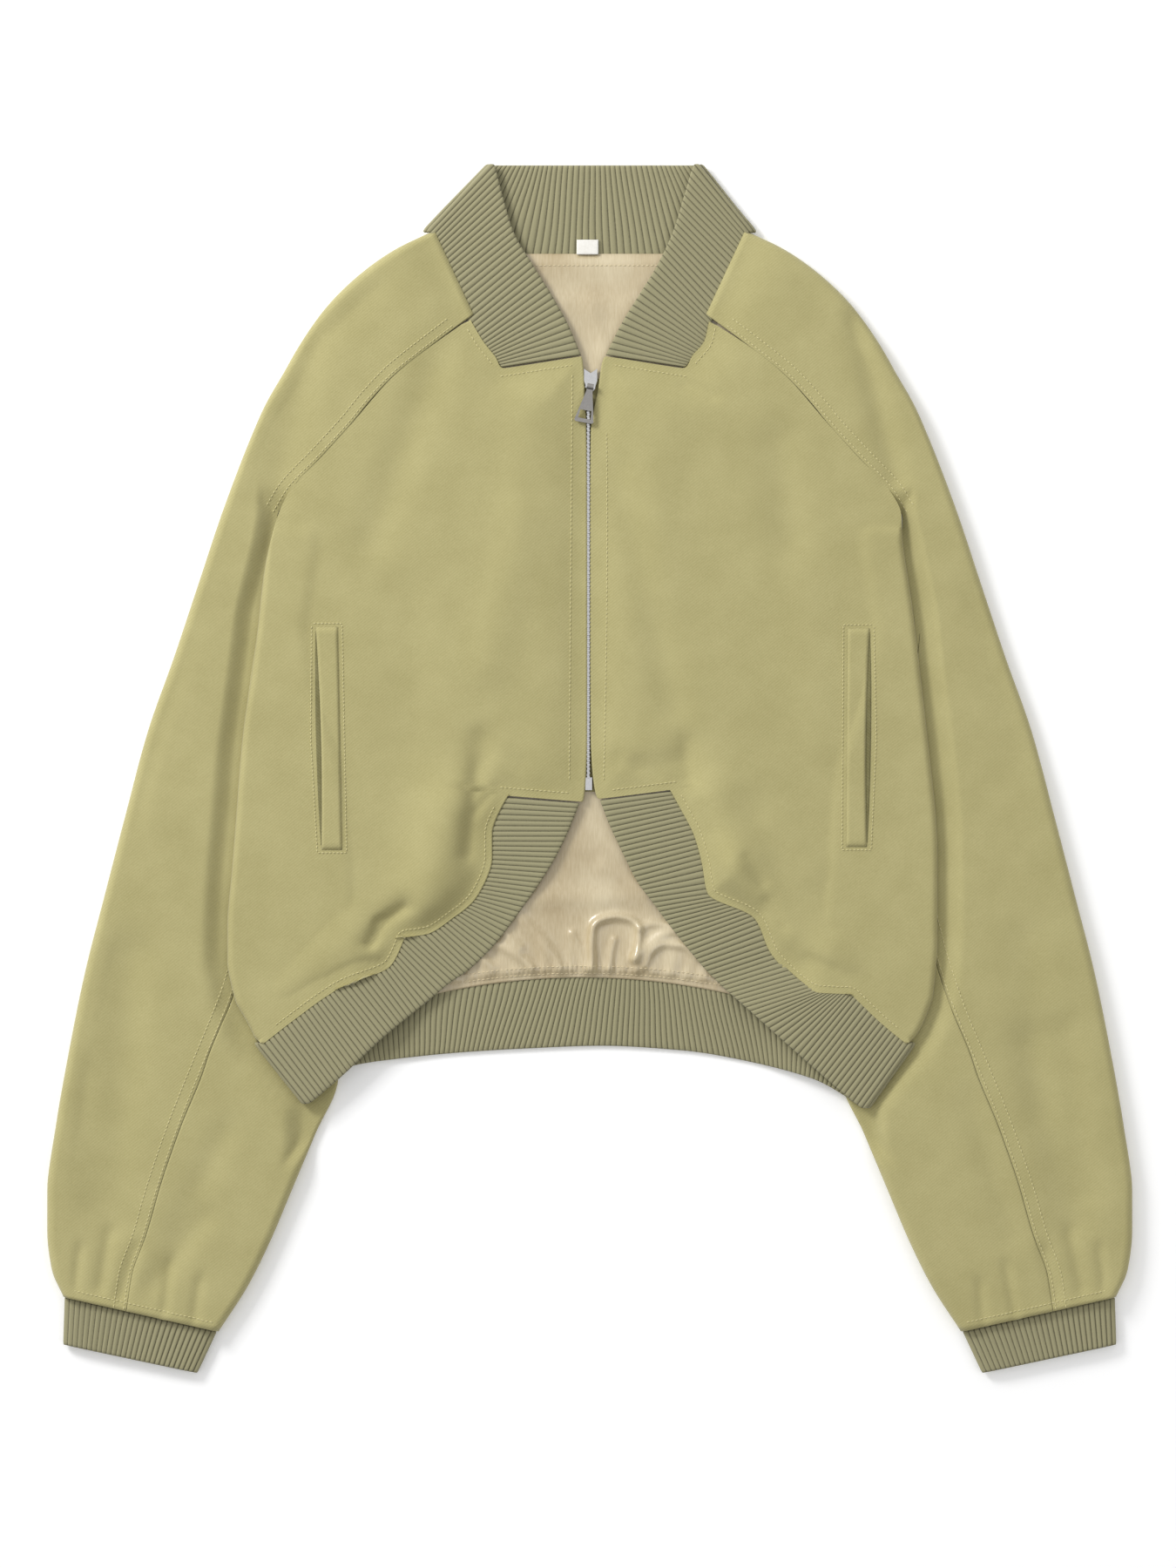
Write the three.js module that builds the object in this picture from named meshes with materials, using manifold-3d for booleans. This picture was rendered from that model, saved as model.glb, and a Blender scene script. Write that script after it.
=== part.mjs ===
// Cropped bomber jacket laid flat, front up: raglan sleeves, rib collar, cuffs and hem, satin lining, metal zip.
// Millimetres. X runs across the jacket, Y from hem to collar, Z up from the surface that it lies on.
import * as THREE from "three";
import { mergeVertices } from "three/addons/utils/BufferGeometryUtils.js";
import Module from "manifold-3d";

const SHELL = 2;
const LINING = 1;
const RIB_BAND = 3;
const RIB_PITCH = 6;
const RIB_DEPTH = 0.8;
const GAP = 0.3;

const CROWN = 12;
const EDGE_DROP = 4;
const EDGE_REACH = 18;
const SLEEVE_UNDER = 5;
const LIFT = SLEEVE_UNDER + 2 * GAP;
const LIFT_IN = 50;
const LIFT_FULL = 22;
const ARMPIT_Y = 174;
const BAND_FRONT_Z = 6.4;
const BAND_BACK_Z = 1.5;

// Zip: chain from bottom to top, tapes a little past both ends, box below the chain.
const ZIP = { x: -1, top: 256, bottom: -6, tapeTop: 268, tapeBottom: -16, chain: 4, tape: 13 };
const ZIP_LAYERS = { low: SHELL + LINING + 2 * GAP, tape: 0.9, sunk: 0.3, proud: 1.1 };
const ZIP_BOX = { over: 0.6, bottom: -15, high: 7.4 };
const SLIDER = { x: 0.6, y: 267, wide: 9, long: 15, low: 4.9, high: 8.2, ear: 1, earAt: 2.9, earDeep: 2.6, bar: 6 };
const LABEL = { left: -9, right: 6, bottom: 353.4, top: 363.6, low: 3.6, high: 4.6 };
const TAB = { x: 0.4, y: 262, z: 11, turn: -10.7, bar: 0.8, bore: 1.1, knuckle: 2.1, thick: 1.5 };
const TAB_PLATE = { neck: 4.4, wide: 13.4, long: 25, eyeWide: 8.8, eyeHigh: 5.8, eyeAt: 19.4 };

const COLORS = {
  twill: { color: 0xb7ae7c, roughness: 0.85, metalness: 0 },
  rib: { color: 0x9d9975, roughness: 0.9, metalness: 0 },
  satin: { color: 0xcbba96, roughness: 0.35, metalness: 0 },
  metal: { color: 0xc9c9c6, roughness: 0.25, metalness: 1 },
  tape: { color: 0xb0a880, roughness: 0.9, metalness: 0 },
  label: { color: 0xf1efe9, roughness: 0.7, metalness: 0 },
};

// Turns rows of numbers under a line of column names into records.
function table(columns, rows) {
  const names = columns.split(" ");
  return rows.map((row) => Object.fromEntries(names.map((name, i) => [name, row[i]])));
}

// Rungs of a sleeve from its outer edge to the armhole seam on top and below, then to the inner fold.
const SLEEVE = table("outerX outerY topX topY lowX lowY", [
  [-110, 368, -83, 310, -82, 353],
  [-135, 356, -109, 290, -104, 324],
  [-160, 338, -135, 269, -126, 294],
  [-182, 316, -151, 252, -147, 265],
  [-199, 292, -164, 236, -166, 239],
  [-211, 271, -185, 213, -187, 211],
  [-223, 250, -206, 191, -204, 188],
  [-234, 225, -216, 175, -216, 175],
  [-253, 175, -217, 145, -217, 145],
  [-268, 130, -225, 97, -225, 97],
  [-286, 76, -217, 49, -217, 49],
  [-304, 25, -199, 1, -199, 1],
  [-320, -35, -194, -59, -194, -59],
  [-334, -89, -188, -119, -188, -119],
  [-347, -140, -181, -170, -181, -170],
  [-358, -194, -173, -212, -173, -212],
  [-367, -245, -189, -252, -189, -252],
  [-373, -290, -206, -293, -206, -293],
  [-373, -318, -220, -326, -220, -326],
  [-370, -344, -235, -356, -235, -356],
  [-362, -363, -255, -387, -255, -387],
]);

// Side edge of the body, left and right, at each height.
const SIDE = table("leftX rightX Y", [
  [-212, 207, 174],
  [-215, 212, 157],
  [-227, 222, 109],
  [-233, 227, 61],
  [-239, 233, 19],
  [-243, 238, -29],
  [-247, 239, -71],
  [-249, 239, -107],
  [-249, 238, -134],
  [-242, 234, -164],
  [-233, 225, -184],
  [-193, 187, -233],
]);

// Rungs of the left front from collar, zip and hem seam out to armhole seam and side.
const FRONT_LEFT = table("inX inY outX outY", [
  [-82, 308, -88, 305],
  [-73, 293, -109, 290],
  [-65, 283, -135, 269],
  [-59, 275, -164, 236],
  [-6, 283, -185, 213],
  [-4, 259, -206, 191],
  [-4, 217, -214, 174],
  [-3, 169, -224, 133],
  [-2, 109, -228, 97],
  [-2, 61, -233, 55],
  [-3, 19, -238, 26],
  [-5, -23, -239, 12],
  [-56, -19, -244, -47],
  [-67, -44, -246, -71],
  [-67, -62, -248, -95],
  [-78, -89, -249, -116],
  [-94, -103, -249, -134],
  [-112, -114, -247, -149],
  [-127, -116, -243, -161],
  [-137, -136, -238, -170],
  [-170, -150, -233, -179],
  [-202, -172, -230, -185],
  [-224, -189, -227, -188],
]);

// Rungs of the right front, the same way.
const FRONT_RIGHT = table("inX inY outX outY", [
  [82, 307, 88, 304],
  [79, 294, 109, 290],
  [71, 284, 135, 269],
  [64, 275, 164, 236],
  [11, 283, 185, 213],
  [7, 259, 206, 191],
  [2, 229, 214, 174],
  [1, 181, 215, 157],
  [1, 121, 222, 109],
  [1, 61, 227, 61],
  [3, 19, 231, 31],
  [6, -21, 233, 12],
  [55, -15, 236, -14],
  [63, -29, 238, -35],
  [72, -47, 239, -59],
  [77, -65, 239, -80],
  [81, -86, 239, -104],
  [113, -103, 239, -122],
  [125, -128, 238, -137],
  [157, -154, 235, -161],
  [179, -155, 230, -173],
  [200, -175, 224, -184],
  [217, -189, 220, -188],
]);

// Rungs of the collar band from its seam to its free edge: left end, neck fold, back, fold, right end.
const COLLAR = table("seamX seamY freeX freeY", [
  [-59, 276, -6, 284],
  [-65, 283, -14, 303],
  [-73, 293, -26, 325],
  [-83, 310, -39, 346],
  [-94, 334, -52, 368],
  [-103, 355, -60, 394],
  [-109, 370, -66, 415],
  [-82, 359, -52, 415],
  [-43, 354, -31, 415],
  [0, 353, 0, 415],
  [48, 354, 35, 415],
  [83, 358, 57, 415],
  [109, 370, 72, 415],
  [103, 355, 65, 394],
  [94, 334, 58, 371],
  [83, 310, 47, 347],
  [79, 294, 35, 327],
  [71, 284, 22, 306],
  [64, 276, 11, 284],
]);

// Rungs of the hem band from its seam to its free edge: left end, side fold, back, fold, right end.
const HEM = table("seamX seamY freeX freeY", [
  [-57, -20, -7, -24],
  [-67, -44, -15, -44],
  [-67, -62, -25, -64],
  [-78, -89, -47, -97],
  [-94, -103, -67, -123],
  [-112, -114, -85, -140],
  [-127, -116, -94, -146],
  [-137, -136, -115, -163],
  [-170, -150, -142, -185],
  [-202, -172, -172, -213],
  [-225, -190, -193, -230],
  [-178, -173, -164, -205],
  [-136, -160, -133, -200],
  [-87, -149, -94, -196],
  [-31, -143, -46, -193],
  [14, -143, 8, -191],
  [56, -145, 62, -194],
  [101, -154, 110, -202],
  [164, -170, 155, -214],
  [218, -190, 187, -233],
  [200, -175, 167, -217],
  [179, -155, 143, -196],
  [157, -154, 115, -171],
  [125, -128, 83, -142],
  [113, -103, 65, -121],
  [81, -86, 43, -92],
  [77, -65, 32, -77],
  [72, -47, 23, -59],
  [63, -29, 14, -40],
  [54, -16, 7, -22],
]);

// Rungs of the back from left to right, rise being how far the middle curves up.
const BACK = table("leftX leftY rightX rightY rise", [
  [-80, 351, 80, 351, 0],
  [-103, 324, 103, 324, 0],
  [-124, 294, 124, 294, 0],
  [-145, 265, 145, 265, 0],
  [-164, 239, 164, 239, 0],
  [-185, 211, 185, 211, 0],
  [-202, 188, 202, 188, 0],
  [-211, 172, 205, 172, 0],
  [-224, 115, 219, 115, 0],
  [-235, 49, 227, 49, 0],
  [-241, -17, 235, -17, 6],
  [-245, -71, 237, -71, 17],
  [-247, -116, 236, -116, 27],
  [-243, -149, 233, -149, 37],
  [-229, -188, 219, -188, 46],
]);

// Share of a sleeve rung, from its outer edge, at which the front and back sleeve seams lie.
const SEAM_SHARE = [
  1, 1, 1, 1, 1, 1, 1, 0.8, 0.8, 0.8, 0.85, 0.82, 0.76, 0.68, 0.6, 0.5, 0.475, 0.46, 0.445, 0.41, 0.41,
];
const FIRST_UNDER = 7;
const SEAM_GAP = 0.5;
const SIDE_RAMP = 14;
const SIDE_CLEAR = 7;

// Large folds: the line each runs along, its width, and how far it rises above the cloth around it.
const FOLDS = table("x1 y1 x2 y2 width rise", [
  [-102, 289, -149, 157, 14, -2],
  [-46, 169, -70, 73, 16, 2],
  [-74, 19, -83, -59, 9, -3],
  [-95, -30, -112, -92, 24, 7],
  [-127, -95, -150, -119, 8, -3],
  [-160, -120, -200, -160, 22, 4],
  [20, 204, 58, 43, 12, -2],
  [66, 16, 67, -8, 10, -2],
  [130, 223, 137, 157, 14, -2],
  [88, -20, 98, -60, 20, 4],
  [98, -70, 118, -110, 20, 6],
  [165, -130, 195, -160, 20, 4],
  [-191, 304, -215, 190, 14, -2],
  [-316, -131, -328, -311, 16, -3],
  [-265, -309, -300, -355, 9, -2],
  [302, -190, 332, -311, 14, -3],
  [184, 311, 210, 200, 9, -3],
]);

const clamp = (t) => Math.min(1, Math.max(0, t));
const smooth = (t) => clamp(t) * clamp(t) * (3 - 2 * clamp(t));
const mix = (a, b, t) => a + (b - a) * t;

// Distance from a point to a segment.
function toSegment(x, y, a, b) {
  const t = clamp(((x - a.x) * (b.x - a.x) + (y - a.y) * (b.y - a.y)) / ((b.x - a.x) ** 2 + (b.y - a.y) ** 2));
  return Math.hypot(x - mix(a.x, b.x, t), y - mix(a.y, b.y, t));
}

function toLine(x, y, points) {
  const gaps = points.slice(1).map((p, i) => toSegment(x, y, points[i], p));
  return Math.min(...gaps);
}

// Value of one column of a table at a height, between the rows on either side.
function columnAt(rows, yName, name, y) {
  const above = rows.findIndex((row) => row[yName] <= y);
  if (above === 0) return rows[0][name];
  if (above < 0) return rows[rows.length - 1][name];
  const [a, b] = [rows[above - 1], rows[above]];
  return mix(a[name], b[name], (y - a[yName]) / (b[yName] - a[yName]));
}

const edgeOf = (rows) => rows.map((row) => ({ x: row.inX, y: row.inY }));
const COLLAR_LEFT = [{ x: -109, y: 370 }, ...edgeOf(FRONT_LEFT)];
const COLLAR_RIGHT = [{ x: 109, y: 370 }, ...edgeOf(FRONT_RIGHT)];

// How far the body is lifted off the surface where the inner side of a sleeve runs under it.
function lift(x, y) {
  const inner = -columnAt(SLEEVE, "topY", "topX", y);
  const across = smooth((Math.abs(x) - inner + LIFT_IN) / (LIFT_IN - LIFT_FULL));
  return LIFT * across * smooth((ARMPIT_Y + 6 - y) / 20);
}

// Height of the upper cloth: a low crown that falls to the seams round the collar, zip and hem, with the folds.
function crown(x, y) {
  const edge = Math.min(toLine(x, y, COLLAR_LEFT), toLine(x, y, COLLAR_RIGHT));
  let z = CROWN - EDGE_DROP * Math.exp(-((edge / EDGE_REACH) ** 2));
  const share = 1 - Math.exp(-((edge / 10) ** 2));
  for (const f of FOLDS) {
    const gap = toSegment(x, y, { x: f.x1, y: f.y1 }, { x: f.x2, y: f.y2 });
    z += f.rise * share * Math.exp(-((gap / f.width) ** 2));
  }
  return z;
}

// Height of the upper sleeve: the crown, pressed flat where the body lies on it.
function sleeveTop(x, y) {
  const side = x < 0 ? -columnAt(SIDE, "Y", "leftX", y) : columnAt(SIDE, "Y", "rightX", y);
  const past = smooth((Math.abs(x) - side - SIDE_CLEAR) / SIDE_RAMP);
  const free = Math.max(smooth((y - ARMPIT_Y) / 20), smooth((-255 - y) / 20));
  return mix(SLEEVE_UNDER, crown(x, y), Math.max(past, free));
}

// Unit normals of a grid of points, turned so that the first one faces up.
function normalsOf(grid) {
  const held = (k, count) => Math.min(Math.max(k, 0), count - 1);
  const at = (i, j) => grid[held(i, grid.length)][held(j, grid[0].length)];
  const normals = grid.map((row, i) =>
    row.map((_, j) => {
      const along = at(i + 1, j).clone().sub(at(i - 1, j));
      const across = at(i, j + 1).clone().sub(at(i, j - 1));
      return along.cross(across).normalize();
    }),
  );
  if (normals[Math.floor(grid.length / 2)][0].z < 0) normals.forEach((row) => row.forEach((n) => n.negate()));
  return normals;
}

// A closed body between two grids of points, open or closed across.
function bodyBetween(outer, inner, ring = false) {
  const rows = outer.length;
  const columns = outer[0].length;
  const points = [...outer.flat(), ...inner.flat()];
  const at = (skin, i, j) => skin * rows * columns + i * columns + (j % columns);
  const faces = [];
  const quad = (a, b, c, d) => faces.push(a, b, c, a, c, d);
  const last = ring ? columns : columns - 1;
  for (let i = 0; i < rows - 1; i++) {
    for (let j = 0; j < last; j++) {
      quad(at(0, i, j), at(0, i, j + 1), at(0, i + 1, j + 1), at(0, i + 1, j));
      quad(at(1, i, j), at(1, i + 1, j), at(1, i + 1, j + 1), at(1, i, j + 1));
    }
  }
  for (let j = 0; j < last; j++) {
    quad(at(0, 0, j), at(1, 0, j), at(1, 0, j + 1), at(0, 0, j + 1));
    quad(at(0, rows - 1, j), at(0, rows - 1, j + 1), at(1, rows - 1, j + 1), at(1, rows - 1, j));
  }
  for (let i = 0; i < rows - 1 && !ring; i++) {
    quad(at(0, i, 0), at(0, i + 1, 0), at(1, i + 1, 0), at(1, i, 0));
    quad(at(0, i, last), at(1, i, last), at(1, i + 1, last), at(0, i + 1, last));
  }
  return geometryOf(points, faces);
}

// Geometry of points and faces, its faces turned outward by the sign of its volume.
function geometryOf(points, faces) {
  let volume = 0;
  for (let k = 0; k < faces.length; k += 3) {
    const [a, b, c] = [points[faces[k]], points[faces[k + 1]], points[faces[k + 2]]];
    volume += a.dot(b.clone().cross(c));
  }
  const turned = volume < 0 ? faces.map((_, k) => faces[k - (k % 3) + [0, 2, 1][k % 3]]) : faces;
  const geometry = new THREE.BufferGeometry().setFromPoints(points);
  geometry.setIndex(turned);
  geometry.computeVertexNormals();
  return geometry;
}

// A cloth wall of even thickness behind its outer grid, straight below it in the columns that are upright.
function wall(grid, thickness, upright = 0) {
  const normals = normalsOf(grid);
  normals.forEach((row) => row.slice(0, upright).forEach((n) => n.set(0, 0, 1)));
  const inner = grid.map((row, i) => row.map((p, j) => p.clone().addScaledVector(normals[i][j], -thickness)));
  return bodyBetween(grid, inner);
}

const TOP_STEPS = [1, 0.8, 0.6, 0.4, 0.25, 0.12, 0];
const EDGE_ANGLES = [60, 20, -20, -60];
const LOW_STEPS = [0, 0.35, 0.7, 1];

// One rung of a sleeve piece: over the top, round its edge and back below, each as far as its share of the rung.
function sleeveRung(edge, top, low, topShare, lowShare) {
  const radius = sleeveTop(edge.x, edge.y) / 2;
  const reach = Math.hypot(top.x - edge.x, top.y - edge.y);
  const at = (end, far) => ({ x: mix(edge.x, end.x, far / reach), y: mix(edge.y, end.y, far / reach) });
  const fromEdge = Math.abs(edge.x) > Math.abs(top.x);
  const stations = sleeveStations(radius, topShare * reach - SEAM_GAP, bodySideOn(edge, top) * reach, fromEdge);
  const upper = stations.map((far) => {
    const p = at(top, far);
    return new THREE.Vector3(p.x, p.y, mix(2 * radius, sleeveTop(p.x, p.y), smooth((far - radius) / 12)));
  });
  const bend = EDGE_ANGLES.map((degrees) => {
    const angle = (degrees * Math.PI) / 180;
    const p = at(top, radius * (1 - Math.cos(angle)));
    return new THREE.Vector3(p.x, p.y, radius * (1 + Math.sin(angle)));
  });
  const lowReach = Math.hypot(low.x - edge.x, low.y - edge.y);
  const lower = LOW_STEPS.map((s) => {
    const p = at(low, (mix(radius, lowShare * lowReach - SEAM_GAP, s) * reach) / lowReach);
    return new THREE.Vector3(p.x, p.y, 0);
  });
  return [...upper, ...bend, ...lower];
}

// Distances along a rung's upper run, farthest first, with two of them at the body's side edge where it crosses.
function sleeveStations(radius, farthest, side, fromOutside) {
  if (side <= radius) return TOP_STEPS.map((s) => mix(radius, farthest, s));
  const fit = (far, room) => Math.min(farthest - room, Math.max(radius + 1, far));
  const near = fromOutside ? fit(side - SIDE_RAMP, 5) : fit(side, 5);
  const past = fromOutside ? fit(side, 3) : fit(side + SIDE_RAMP, 3);
  const inward = [0.67, 0.33, 0].map((s) => mix(radius, near, s));
  return [farthest, (farthest + past) / 2, past, near, ...inward];
}

// Share of a rung at which it passes the side edge of the body, or 0 where it doesn't.
function bodySideOn(from, to) {
  const steps = 60;
  const sideAt = (p) => (p.x < 0 ? -columnAt(SIDE, "Y", "leftX", p.y) : columnAt(SIDE, "Y", "rightX", p.y));
  const beyond = (p) => Math.abs(p.x) - sideAt(p) - SIDE_CLEAR;
  const at = (k) => ({ x: mix(from.x, to.x, k / steps), y: mix(from.y, to.y, k / steps) });
  for (let k = 0; k < steps; k++) {
    if (beyond(at(k)) * beyond(at(k + 1)) <= 0) return (k + 0.5) / steps;
  }
  return 0;
}

// Outer piece of a sleeve, from the front seam round the outer edge to the back seam.
function sleeveOuter(side) {
  const rows = SLEEVE.map((row, i) => {
    const edge = { x: side * -row.outerX, y: row.outerY };
    const top = { x: side * -row.topX, y: row.topY };
    const low = { x: side * -row.lowX, y: row.lowY };
    const share = SEAM_SHARE[i];
    return sleeveRung(edge, top, low, share, share);
  });
  return wall(rows, SHELL);
}

// Under piece of a sleeve, from the front seam round the inner fold to the back seam.
function sleeveUnder(side) {
  const rows = SLEEVE.slice(FIRST_UNDER).map((row, i) => {
    const edge = { x: side * -row.topX, y: row.topY };
    const outer = { x: side * -row.outerX, y: row.outerY };
    const share = 1 - SEAM_SHARE[FIRST_UNDER + i];
    return sleeveRung(edge, outer, outer, share, share);
  });
  return wall(rows, SHELL);
}

const FRONT_STEPS = [0, 0.04, 0.1, 0.18, 0.28, 0.4, 0.52, 0.64, 0.76, 0.88, 1];
const CURL_ANGLES = [90, 50, 15];
const CURLED_FROM = 6;
const FRONT_OVER = 2 * SHELL + LINING + 9 * GAP;
const FRONT_SEAM = 1.3;

// Outer skin of one front: rungs from its middle edges to the armhole, and below it curled down at the side.
function frontGrid(rows) {
  return rows.map((row, i) => {
    const reach = Math.hypot(row.outX - row.inX, row.outY - row.inY);
    const foot = lift(row.outX, row.outY) + SHELL + GAP;
    const drop = i < CURLED_FROM ? 0 : Math.min(5, reach / 3);
    const seam = (i < CURLED_FROM ? FRONT_SEAM : 0) / reach;
    const at = (share) => ({ x: mix(row.inX, row.outX, share), y: mix(row.inY, row.outY, share) });
    const flat = FRONT_STEPS.map((s) => {
      const p = at(s * (1 - drop / reach - seam));
      return new THREE.Vector3(p.x, p.y, Math.max(crown(p.x, p.y), lift(p.x, p.y) + FRONT_OVER));
    });
    const top = flat[flat.length - 1].z;
    const curl = CURL_ANGLES.slice(1).map((degrees, k) => {
      const angle = (degrees * Math.PI) / 180;
      const share = drop ? 1 - (drop * (1 - Math.cos(angle))) / reach : 1 - seam + ((k + 1) * 0.1) / reach;
      const p = at(share);
      return new THREE.Vector3(p.x, p.y, drop ? mix(foot + 0.5, top, Math.sin(angle)) : top);
    });
    return [...flat, ...curl];
  });
}

// Grid of the back's upper skin over the lifted ground.
const BACK_COLUMNS = 24;
const BACK_GRID = BACK.map((row) =>
  Array.from({ length: BACK_COLUMNS + 1 }, (_, j) => {
    const share = j / BACK_COLUMNS;
    const x = mix(row.leftX, row.rightX, share);
    const y = row.leftY + row.rise * 4 * share * (1 - share);
    return new THREE.Vector3(x, y, lift(x, row.leftY) + SHELL);
  }),
);

// Grid of the lining, from the back's own points, moved up and drawn in at the sides and hem.
function liningGrid() {
  const rows = BACK_GRID.map((row) => row.slice(1, -1).map((p) => p.clone().setZ(p.z + 1.5 * GAP + LINING)));
  const last = rows.length - 1;
  rows[last] = rows[last].map((p, j) => p.lerp(rows[last - 1][j], 0.2));
  return rows;
}

// A band of rib knit through rungs, its ribs running from the seam to the free edge.
function ribBand(rungs) {
  const crossings = [];
  for (let i = 0; i < rungs.length - 1; i++) {
    const [a, b] = [rungs[i], rungs[i + 1]];
    const length = (a.seam.distanceTo(b.seam) + a.free.distanceTo(b.free)) / 2;
    const steps = a.fold || b.fold ? 2 : Math.max(2, 2 * Math.round(length / RIB_PITCH));
    for (let k = 0; k < steps; k++) {
      const seam = a.seam.clone().lerp(b.seam, k / steps);
      const free = a.free.clone().lerp(b.free, k / steps);
      crossings.push({ seam, free, sunk: k % 2 === 1 });
    }
  }
  const end = rungs[rungs.length - 1];
  crossings.push({ seam: end.seam, free: end.free, sunk: false });
  const middle = crossings.map((c) => [c.seam.clone().lerp(c.free, 0.012), c.free]);
  const normals = normalsOf(middle);
  const flip = normals[0][0].z < 0 ? -1 : 1;
  const offset = (share, ribs) =>
    middle.map((row, i) =>
      row.map((p, j) => {
        const depth = ribs && crossings[i].sunk ? RIB_DEPTH : 0;
        return p.clone().addScaledVector(normals[i][j], flip * share * (RIB_BAND / 2 - depth));
      }),
    );
  return bodyBetween(offset(1, true), offset(-1, false));
}

// Rungs of a band that lies in front, folds over at two places and passes behind.
function foldedRungs(rows, firstFold, lastFold, out) {
  const rungs = [];
  rows.forEach((row, i) => {
    const behind = i > firstFold && i < lastFold;
    const rung = (shift, z, fold) => {
      const ground = Math.max(lift(row.seamX, row.seamY), lift(row.freeX, row.freeY));
      const x = shift * (i === firstFold ? -out.x : out.x);
      const seam = new THREE.Vector3(row.seamX + x, row.seamY + shift * out.y, z(ground));
      const free = new THREE.Vector3(row.freeX + x, row.freeY + shift * out.y, z(ground));
      rungs.push({ seam, free, fold });
    };
    const front = (ground) => Math.max(BAND_FRONT_Z, ground + BAND_BACK_Z + 2 * RIB_BAND);
    const back = (ground) => ground + BAND_BACK_Z;
    if (i === lastFold) rung(0, back, false);
    if (i === lastFold) rung(1, (g) => (front(g) + back(g)) / 2, true);
    rung(0, behind ? back : front, false);
    if (i === firstFold) rung(1, (g) => (front(g) + back(g)) / 2, true);
    if (i === firstFold) rung(0, back, false);
  });
  return rungs;
}

const CUFF = { ribs: 28, high: 8, outerSeam: [-362, -363.6], innerSeam: [-255.7, -387.7] };
CUFF.outerFree = [-363, -396];
CUFF.innerFree = [-269, -416];

// Cuff: a flattened tube of rib knit over a plain inside.
function cuff(side) {
  const radius = CUFF.high / 2;
  const ring = (outer, inner, deep) => {
    const a = new THREE.Vector3(side * -outer[0], outer[1], radius);
    const b = new THREE.Vector3(side * -inner[0], inner[1], radius);
    const way = b.clone().sub(a).normalize();
    const points = [];
    const half = CUFF.ribs * 2;
    for (const turn of [1, -1]) {
      for (let k = 0; k < half; k++) {
        const share = turn > 0 ? k / half : 1 - k / half;
        const edge = k === 0 ? 1 : 0;
        const p = a.clone().addScaledVector(way, radius).lerp(b.clone().addScaledVector(way, -radius), share);
        const sunk = deep ? RIB_BAND : RIB_DEPTH * (k % 2);
        const up = edge ? 0 : turn * (radius - sunk);
        const out = edge ? -turn * (radius - (deep ? RIB_BAND : 0)) : 0;
        points.push(p.addScaledVector(way, out).add(new THREE.Vector3(0, 0, up)));
      }
    }
    return points;
  };
  const rings = (deep) => [
    ring(CUFF.outerSeam, CUFF.innerSeam, deep),
    ring(CUFF.outerFree, CUFF.innerFree, deep),
  ];
  return bodyBetween(rings(false), rings(true), true);
}

// Height of a grid's skin over a place, from the face that holds it.
function heightOn(grid, x, y) {
  const flat = (p, q, r) => (q.x - p.x) * (r.y - p.y) - (q.y - p.y) * (r.x - p.x);
  const at = new THREE.Vector3(x, y, 0);
  for (let i = 0; i < grid.length - 1; i++) {
    for (let j = 0; j < grid[0].length - 1; j++) {
      const [a, b, c, d] = [grid[i][j], grid[i][j + 1], grid[i + 1][j + 1], grid[i + 1][j]];
      for (const [p, q, r] of [[a, b, c], [a, c, d]]) {
        const area = flat(p, q, r);
        const shares = [flat(at, q, r) / area, flat(p, at, r) / area, flat(p, q, at) / area];
        if (Math.min(...shares) >= 0) return p.z * shares[0] + q.z * shares[1] + r.z * shares[2];
      }
    }
  }
  return CROWN;
}

const WELT = { thick: 1.3, clear: 0.5, rows: 8, columns: 3 };
const WELT_LEFT = { top: [-188, 97], topIn: [-173, 97], low: [-184, -56], lowIn: [-170, -55] };
const WELT_RIGHT = { top: [192, 96], topIn: [177, 96], low: [190, -54], lowIn: [176, -54] };

// Pocket welt: a narrow strip lying on the front.
function welt(front, corners) {
  const grid = Array.from({ length: WELT.rows + 1 }, (_, i) =>
    Array.from({ length: WELT.columns + 1 }, (_, j) => {
      const [down, across] = [i / WELT.rows, j / WELT.columns];
      const x = mix(mix(corners.top[0], corners.topIn[0], across), mix(corners.low[0], corners.lowIn[0], across), down);
      const y = mix(corners.top[1], corners.low[1], down);
      return new THREE.Vector3(x, y, heightOn(front, x, y) + WELT.clear + WELT.thick);
    }),
  );
  const under = grid.map((row) => row.map((p) => p.clone().setZ(p.z - WELT.thick)));
  return bodyBetween(grid, under);
}

function block(x0, x1, y0, y1, z0, z1) {
  return new THREE.BoxGeometry(x1 - x0, y1 - y0, z1 - z0).translate((x0 + x1) / 2, (y0 + y1) / 2, (z0 + z1) / 2);
}

const wasm = await Module();
wasm.setup();

// A three.js geometry as a solid that can be joined and cut.
function solid(geometry) {
  const bare = geometry.clone();
  bare.deleteAttribute("normal");
  bare.deleteAttribute("uv");
  const merged = mergeVertices(bare, 1e-4);
  const triVerts = new Uint32Array(merged.index.array);
  return new wasm.Manifold(new wasm.Mesh({ numProp: 3, vertProperties: merged.attributes.position.array, triVerts }));
}

function geometryOfSolid(made) {
  const mesh = made.getMesh();
  const geometry = new THREE.BufferGeometry();
  geometry.setAttribute("position", new THREE.BufferAttribute(mesh.vertProperties, 3));
  geometry.setIndex(new THREE.BufferAttribute(mesh.triVerts, 1));
  geometry.computeVertexNormals();
  return geometry;
}

function extruded(outline, holes, z0, high) {
  const shape = new THREE.Shape(outline.map(([x, y]) => new THREE.Vector2(x, y)));
  shape.holes = holes.map((hole) => new THREE.Path(hole.map(([x, y]) => new THREE.Vector2(x, y))));
  return new THREE.ExtrudeGeometry(shape, { depth: high, bevelEnabled: false }).translate(0, 0, z0);
}

const rod = (radius, length) => new THREE.CylinderGeometry(radius, radius, length, 16).rotateZ(Math.PI / 2);

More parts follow.
